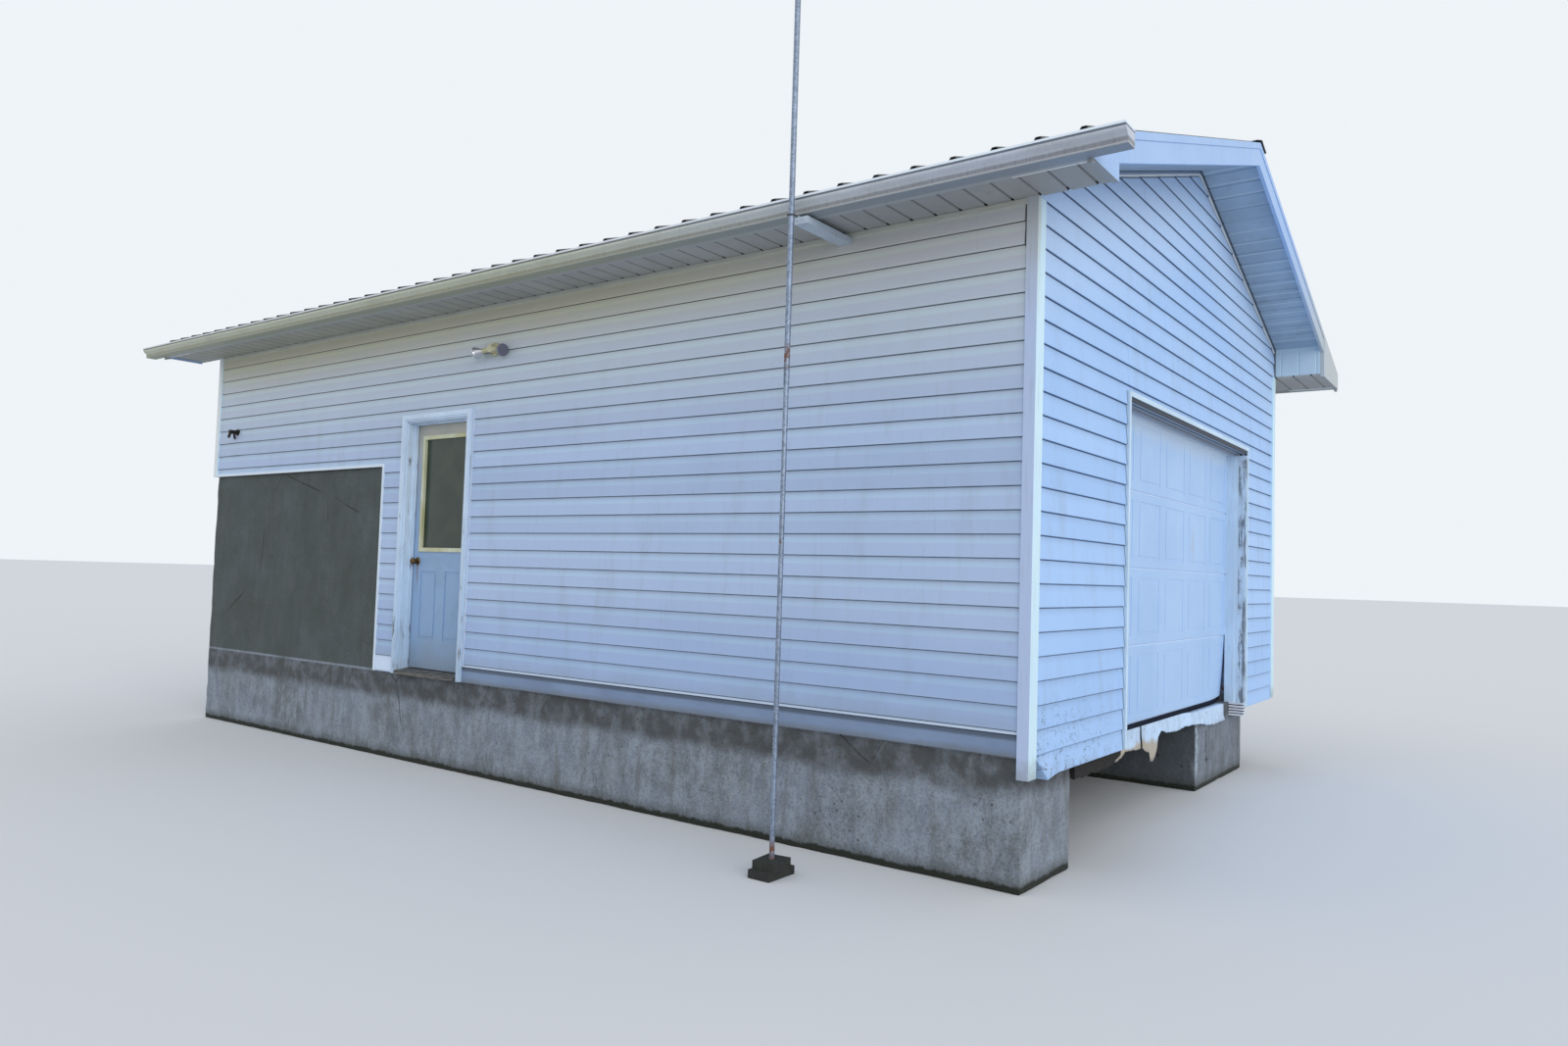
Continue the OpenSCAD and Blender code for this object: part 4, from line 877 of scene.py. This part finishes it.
# Torn membrane: what is left of a white woven sheet tacked under the boat door. It hangs over the slip and
# laps over the front of the right pier; stained cream and brown, with a slit, a long tear and frayed ends.
woven, place = begin("torn_white_membrane")
x, y, z = place.parts()
weave = (abs((x * 450) % 1.0 - 0.5) + abs((z * 450) % 1.0 - 0.5)).rise(0.2, 0.8)
dirt = (place * (1, 1, 0.5)).cloud(0.11, 5, 0.6)
sodden = z.rise(0.57, 0.44) * (0.3 + 0.35 * x.rise(-0.12, -0.3))
tone = layered(
    (205, 229, 255),
    (dirt.rise(0.4, 0.7), 1, 188, 208, 230),
    ((dirt + sodden).rise(0.66, 0.96), 0.85, 184, 168, 140),
    (place.cloud(0.03, 4).rise(0.6, 0.72), 0.4, 96, 90, 78))
coat(woven, place, weave * 0.2 + dirt, 0.0015, Base_Color=tone, Roughness=0.75)
lower_edge = ((-1.388, 0.462), (-1.31, 0.478), (-1.2, 0.45), (-1.1, 0.443), (-1.02, 0.458), (-0.95, 0.49),
              (-0.83, 0.484), (-0.6, 0.472), (-0.57, 0.47), (-0.5, 0.438), (-0.44, 0.43), (-0.4, 0.362),
              (-0.345, 0.352), (-0.28, 0.392), (-0.24, 0.43), (-0.22, 0.51), (-0.158, 0.551), (0.0, 0.522),
              (0.23, 0.508), (0.45, 0.520), (0.6, 0.532), (0.76, 0.517), (0.9, 0.494), (1.1, 0.483),
              (1.3, 0.479), (1.44, 0.488))
hang_top, tack_y, hem_y, pier_lap_y, rows = 0.6222, -4.206, -4.2205, -4.2715, 9
sheet_left, slit_left, slit_right, sheet_right = -1.388, -0.605, -0.575, 1.44


def hem_at(u):
    for (u0, z0), (u1, z1) in zip(lower_edge, lower_edge[1:]):
        if u <= u1:
            return z0 + (z1 - z0) * (u - u0) / (u1 - u0)
    return lower_edge[-1][1]


cloth = bmesh.new()
for start_u, end_u in ((sheet_left, slit_left), (slit_right, sheet_right)):
    steps = int((end_u - start_u) / 0.016)
    columns = []
    for c in range(steps + 1):
        u = start_u + (end_u - start_u) * c / steps
        foot = hem_at(u) + 0.007 * noise.noise(Vector((u * 31, 0, 0))) + 0.004 * noise.noise(Vector((u * 90, 3, 0)))
        lap = min(1, max(0, (u - 0.42) / 0.19))
        front = hem_y + (pier_lap_y - hem_y) * lap * lap * (3 - 2 * lap)
        points = [(u, tack_y, hang_top), (u, front + 0.004, hang_top - 0.0005)]
        for k in range(rows):
            t = k / (rows - 1)
            wave = 0.009 * noise.noise(Vector((u * 5 + 2 * t, 7, 0))) + 0.005 * noise.noise(Vector((u * 15, 9, t)))
            sway = wave * t - 0.010 * t * t
            slit = 0.02 * t if end_u == slit_left and abs(u - slit_left) < 0.012 else 0
            points.append((u - slit, front + min(sway, 0.0), hang_top - 0.003 - (hang_top - 0.003 - foot) * t))
        columns.append([cloth.verts.new(p) for p in points])
    for a, b in zip(columns, columns[1:]):
        for k in range(rows + 1):
            cloth.faces.new((a[k], a[k + 1], b[k + 1], b[k])).smooth = True
cloth.normal_update()
bmesh.ops.recalc_face_normals(cloth, faces=cloth.faces)
membrane = show("torn_membrane", cloth, woven)
thickness = membrane.modifiers.new("thickness", "SOLIDIFY")
thickness.thickness, thickness.offset = 0.0008, 0

# Ledger and packing strips: a dark board under the left front wall, painted shade of the gap there, lower edge
# crumbled away, and loose white strips with set-back ones painted dark as shade between, stacked under the right jamb
# where it stands out past the pier.
# A near-black board where the gap under the siding lies in shade: its darkness is painted shade.
painted_shade_board_wood, place = begin("painted_shade_board_wood")
fibre = (place * (0.08, 1, 1)).cloud(0.006, 5, 0.65)
tone = layered(
    (38, 33, 29),
    (fibre.rise(0.3, 0.7), 1, 16, 15, 15),
    (place.cloud(0.06, 4).rise(0.5, 0.7), 0.5, 44, 44, 34))
coat(painted_shade_board_wood, place, fibre, 0.002, Base_Color=tone, Roughness=0.9)
rings, board_y0, board_y1, board_top = [], -4.3645, -4.336, 0.6995
for c in range(61):
    u = -2.205 + 0.775 * c / 60
    foot = 0.497 + 0.012 * noise.noise(Vector((u * 9, 1, 0))) + 0.01 * noise.noise(Vector((u * 40, 2, 0)))
    foot += 0.05 * max(0, (u + 1.62) / 0.19)
    rings.append(((u, board_y0, foot), (u, board_y1, foot + 0.006),
                  (u, board_y1, board_top), (u, board_y0, board_top)))
piece("dark_ledger_as_shade", [rings], painted_shade_board_wood)
strips, strip_pitch = [], 0.0235
strip_paint, place = begin("packing_strip_paint")
x, y, z = place.parts()
tone = layered(
    (232, 236, 244),
    ((place * (1, 0.15, 1)).cloud(0.02, 4).rise(0.45, 0.85), 1, 160, 162, 166),
    # The thin strips set back between the white ones are painted near black as shade.
    (((z - 0.3375) % strip_pitch).rise(0.0085, 0.0075), 1, 34, 34, 36))
coat(strip_paint, place, place.cloud(0.02), 0.0008, Base_Color=tone, Roughness=0.6)
for i in range(9):
    head, thick, inset = (0.6195, 0.0155, 0) if i % 2 == 0 else (0.604, 0.008, 0.007)
    head -= strip_pitch * (i // 2)
    foot = head - thick
    x0, x1 = 1.639 - 0.004 * (i // 2 % 2) + inset, 1.702 + 0.003 * ((i * 7) % 3) - inset
    y0, y1, low = -4.3885 + 0.003 * (i % 3) + inset, -4.2655, foot - 0.0012 * (i // 2 % 2)
    strips.append((((x0, y0, foot), (x1, y0, low), (x1, y1, low), (x0, y1, foot)),
                   ((x0, y0, head), (x1, y0, head), (x1, y1, head), (x0, y1, head))))
piece("packing_strips", strips, strip_paint)


# Door tracks and mast: galvanised steel with a faint spangle, dulled to grey, rust at joints and cut ends.
def galvanised(name, rust_at):
    material, place = begin(name)
    x, y, z = place.parts()
    spangle = place.node("TexVoronoi", {"feature": "F1"}, place, out="Color", Scale=90.0).parts()[0]
    dull = place.cloud(0.12, 5)
    zinc = (0.5 * spangle + 0.5 * dull).rise(0.2, 0.8).mix((150, 164, 184), (118, 130, 148))
    rusty = place.cloud(0.05, 5, 0.65).rise(0.62, 0.74) * 0.6
    for centre, reach in rust_at:
        rusty = rusty + abs(z - centre).rise(reach, 0.0) * place.cloud(0.03, 5, 0.65).rise(0.38, 0.6)
    rusty = rusty.rise(0.0, 1.0)
    zinc = rusty.mix(zinc, (116, 72, 48))
    return coat(material, place, dull * 0.2 + rusty * 0.3, 0.0008, Base_Color=zinc, Metallic=0.55 - 0.5 * rusty,
                Roughness=0.45 + 0.35 * rusty)


dress(galvanised("galvanised_track", ((0.7, 0.1),)), "boat_door_tracks")

# Gutter: white enamelled aluminium, formed in one run with end caps and straps across the top.
# Lip painted bright as a highlight over a painted shadow line, bright along the foot, a darker brown band on the
# curve, underside painted darker as shade; cream and olive toward the bank.
gutter_enamel, place = begin("gutter_enamel")
x, y, z = place.parts()
bank = y.rise(-4.7, -0.4)
overflow = (place * (1, 1, 0.05)).cloud(0.018, 5, 0.6).rise(0.45, 0.8)
algae = (place * (1, 0.6, 1)).cloud(0.25, 5).rise(0.42, 0.72)
waver = z.uneven(place, 0.004, 0.12, 4)
# A darker brown band across the lower curve, streaked where the overflow runs.
curve_band = waver.rise(3.642, 3.630)
tone = layered(
    (204, 210, 222),
    (bank, 1, 204, 206, 184),
    (algae, 0.25, 150, 150, 130),
    (curve_band * (0.75 + 0.25 * overflow), 1, bank.mix((108, 110, 116), (122, 122, 100))),
    (overflow, 0.2, 126, 124, 104),
    # A painted shadow line under the lip, the lip painted bright as a highlight, and the underside painted darker as
    # shade.
    (z.rise(3.6735, 3.6765), 0.9, bank.mix((104, 112, 124), (112, 114, 104))),
    (z.rise(3.6845, 3.6855), 1, bank.mix((236, 246, 255), (220, 222, 226))),
    (waver.rise(3.616, 3.613), 0.9, bank.mix((184, 186, 188), (158, 160, 142))),
    (z.rise(3.6062, 3.6054), 1, bank.mix((142, 151, 162), (160, 162, 140))))
coat(gutter_enamel, place, place.cloud(0.2), 0.0015, Base_Color=tone, Roughness=0.4 + 0.25 * overflow)
dress(gutter_enamel, "gutter")

hangers, hanger_count, strap = [], 12, 0.025
gutter_low, gutter_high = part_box("gutter")
profile = ((gutter_high.x - 0.0032, 3.676), (gutter_high.x - 0.0032, 3.69), (gutter_low.x + 0.0045, 3.6925),
           (gutter_low.x + 0.0045, 3.6905), (gutter_high.x - 0.006, 3.688), (gutter_high.x - 0.006, 3.676))
for i in range(hanger_count):
    y0 = gutter_low.y + 0.22 + i * (gutter_high.y - gutter_low.y - 0.465) / (hanger_count - 1)
    hangers.append([[(px, py, pz) for px, pz in profile] for py in (y0, y0 + strap)])
hanger_steel, place = begin("gutter_hanger_steel")
coat(hanger_steel, place, place.cloud(0.01), 0.0004, Metallic=0.7, Roughness=0.45,
     Base_Color=place.cloud(0.05, 4).rise(0.45, 0.7).mix((170, 174, 176), (120, 112, 98)))
piece("gutter_hangers", hangers, hanger_steel)

# Floodlight and tap: a die-cast canopy with two holders, yellowed by the sun, each with a reflector bulb, silvered
# along its cone and ribbed across its lens. The tap is blackened brass.
lamp_enamel, place = begin("lamp_enamel")
x, y, z = place.parts()
past_canopy = abs(y + 0.001)
silver = past_canopy.rise(0.0785, 0.0795)
lens = past_canopy.rise(0.1385, 0.1405)
ribs_over = abs(z % 0.008 - 0.004).rise(0.001, 0.003)
tone = layered(
    (206, 202, 170),
    (place.cloud(0.08, 4).rise(0.35, 0.7), 1, 166, 160, 122),
    (silver, 1, 206, 208, 210),
    (lens, 1, ribs_over.mix((70, 72, 88), (132, 132, 150))))
coat(lamp_enamel, place, place.cloud(0.02) * 0.4 + lens * ribs_over, 0.001, Base_Color=tone,
     Metallic=silver * (1 - lens) * 0.85, Roughness=0.42 - 0.24 * silver)
dress(lamp_enamel, "floodlight")
dark_brass, place = begin("blackened_brass")
tone = place.cloud(0.03, 4).rise(0.4, 0.7).mix((34, 32, 30), (74, 62, 46))
coat(dark_brass, place, place.cloud(0.01), 0.0008, Base_Color=tone, Roughness=0.5, Metallic=0.6)
dress(dark_brass, "wall_fixture")

# Mast: two lengths of galvanised pipe sleeved together, rusty at the sleeve and the foot. It is held by a U-bolt
# on a painted wooden arm with a steel end, and stands on two dark, mossy blocks.
dress(galvanised("galvanised_pipe", ((2.79, 0.11), (0.12, 0.12))), "mast")
dress(flaking_paint("arm_paint", rgb(196, 208, 220), rgb(120, 122, 118), -0.04, iron_from=-3.425), "mast_bracket")
block_wood, place = begin("weathered_block_wood")
grain = (place * (0.08, 1, 1)).cloud(0.006, 5, 0.65)
moss = place.cloud(0.05, 5).rise(0.5, 0.7)
tone = layered(
    (58, 58, 54),
    (grain.rise(0.3, 0.7), 1, 32, 34, 36),
    (moss, 0.5, 56, 66, 42))
coat(block_wood, place, grain + moss * 0.3, 0.0015, Base_Color=tone, Roughness=0.9)
dress(block_wood, "mast_blocks")

# Floor and light: a plain pale floor, an even soft sky and one wide soft sun from the lake side.
# The camera sees floor and sky a little brighter than the building is lit by them.
floor_paint, place = begin("studio_floor")
seen = place.node("LightPath", {}, out="Is Camera Ray")
shown = place.node("BsdfDiffuse", {}, Color=(0.78, 0.79, 0.8, 1))
bounced = place.node("BsdfDiffuse", {}, Color=(0.62, 0.64, 0.67, 1))
both = place.node("MixShader", {}, seen, bounced, shown)
both.tree.links.new(both.socket, both.tree.nodes.new("ShaderNodeOutputMaterial").inputs["Surface"])
disc = bmesh.new()
bmesh.ops.create_circle(disc, cap_ends=True, segments=96, radius=240)
floor_mesh = bpy.data.meshes.new("studio_floor")
disc.to_mesh(floor_mesh)
disc.free()
floor_mesh.materials.append(floor_paint)
enter("studio_floor", floor_mesh)

world = bpy.data.worlds.new("soft_sky")
scene.world = world
world.use_nodes = True
world.node_tree.nodes.clear()
path = Tone(world.node_tree.nodes.new("ShaderNodeLightPath").outputs["Is Camera Ray"])
glossy = Tone(path.socket.node.outputs["Is Glossy Ray"])
through = Tone(path.socket.node.outputs["Is Transmission Ray"])
plain = (path + glossy + through).rise(0.0, 1.0)
lit = path.node("Background", {}, Color=(0.9, 0.94, 1.0, 1), Strength=0.8)
drawn = path.node("Background", {}, Color=(0.86, 0.9, 0.94, 1), Strength=1.0)
sky = path.node("MixShader", {}, plain, lit, drawn)
world.node_tree.links.new(sky.socket, world.node_tree.nodes.new("ShaderNodeOutputWorld").inputs["Surface"])
sun = enter("soft_sun", bpy.data.lights.new("soft_sun", "SUN"))
sun.data.energy, sun.data.angle = 1.5, math.radians(60)
sun.data.color = (0.98, 0.99, 1)
sun.rotation_euler = Vector((-0.47, -0.85, 0.15)).to_track_quat("Z", "Y").to_euler()

scene.view_settings.view_transform = "Standard"
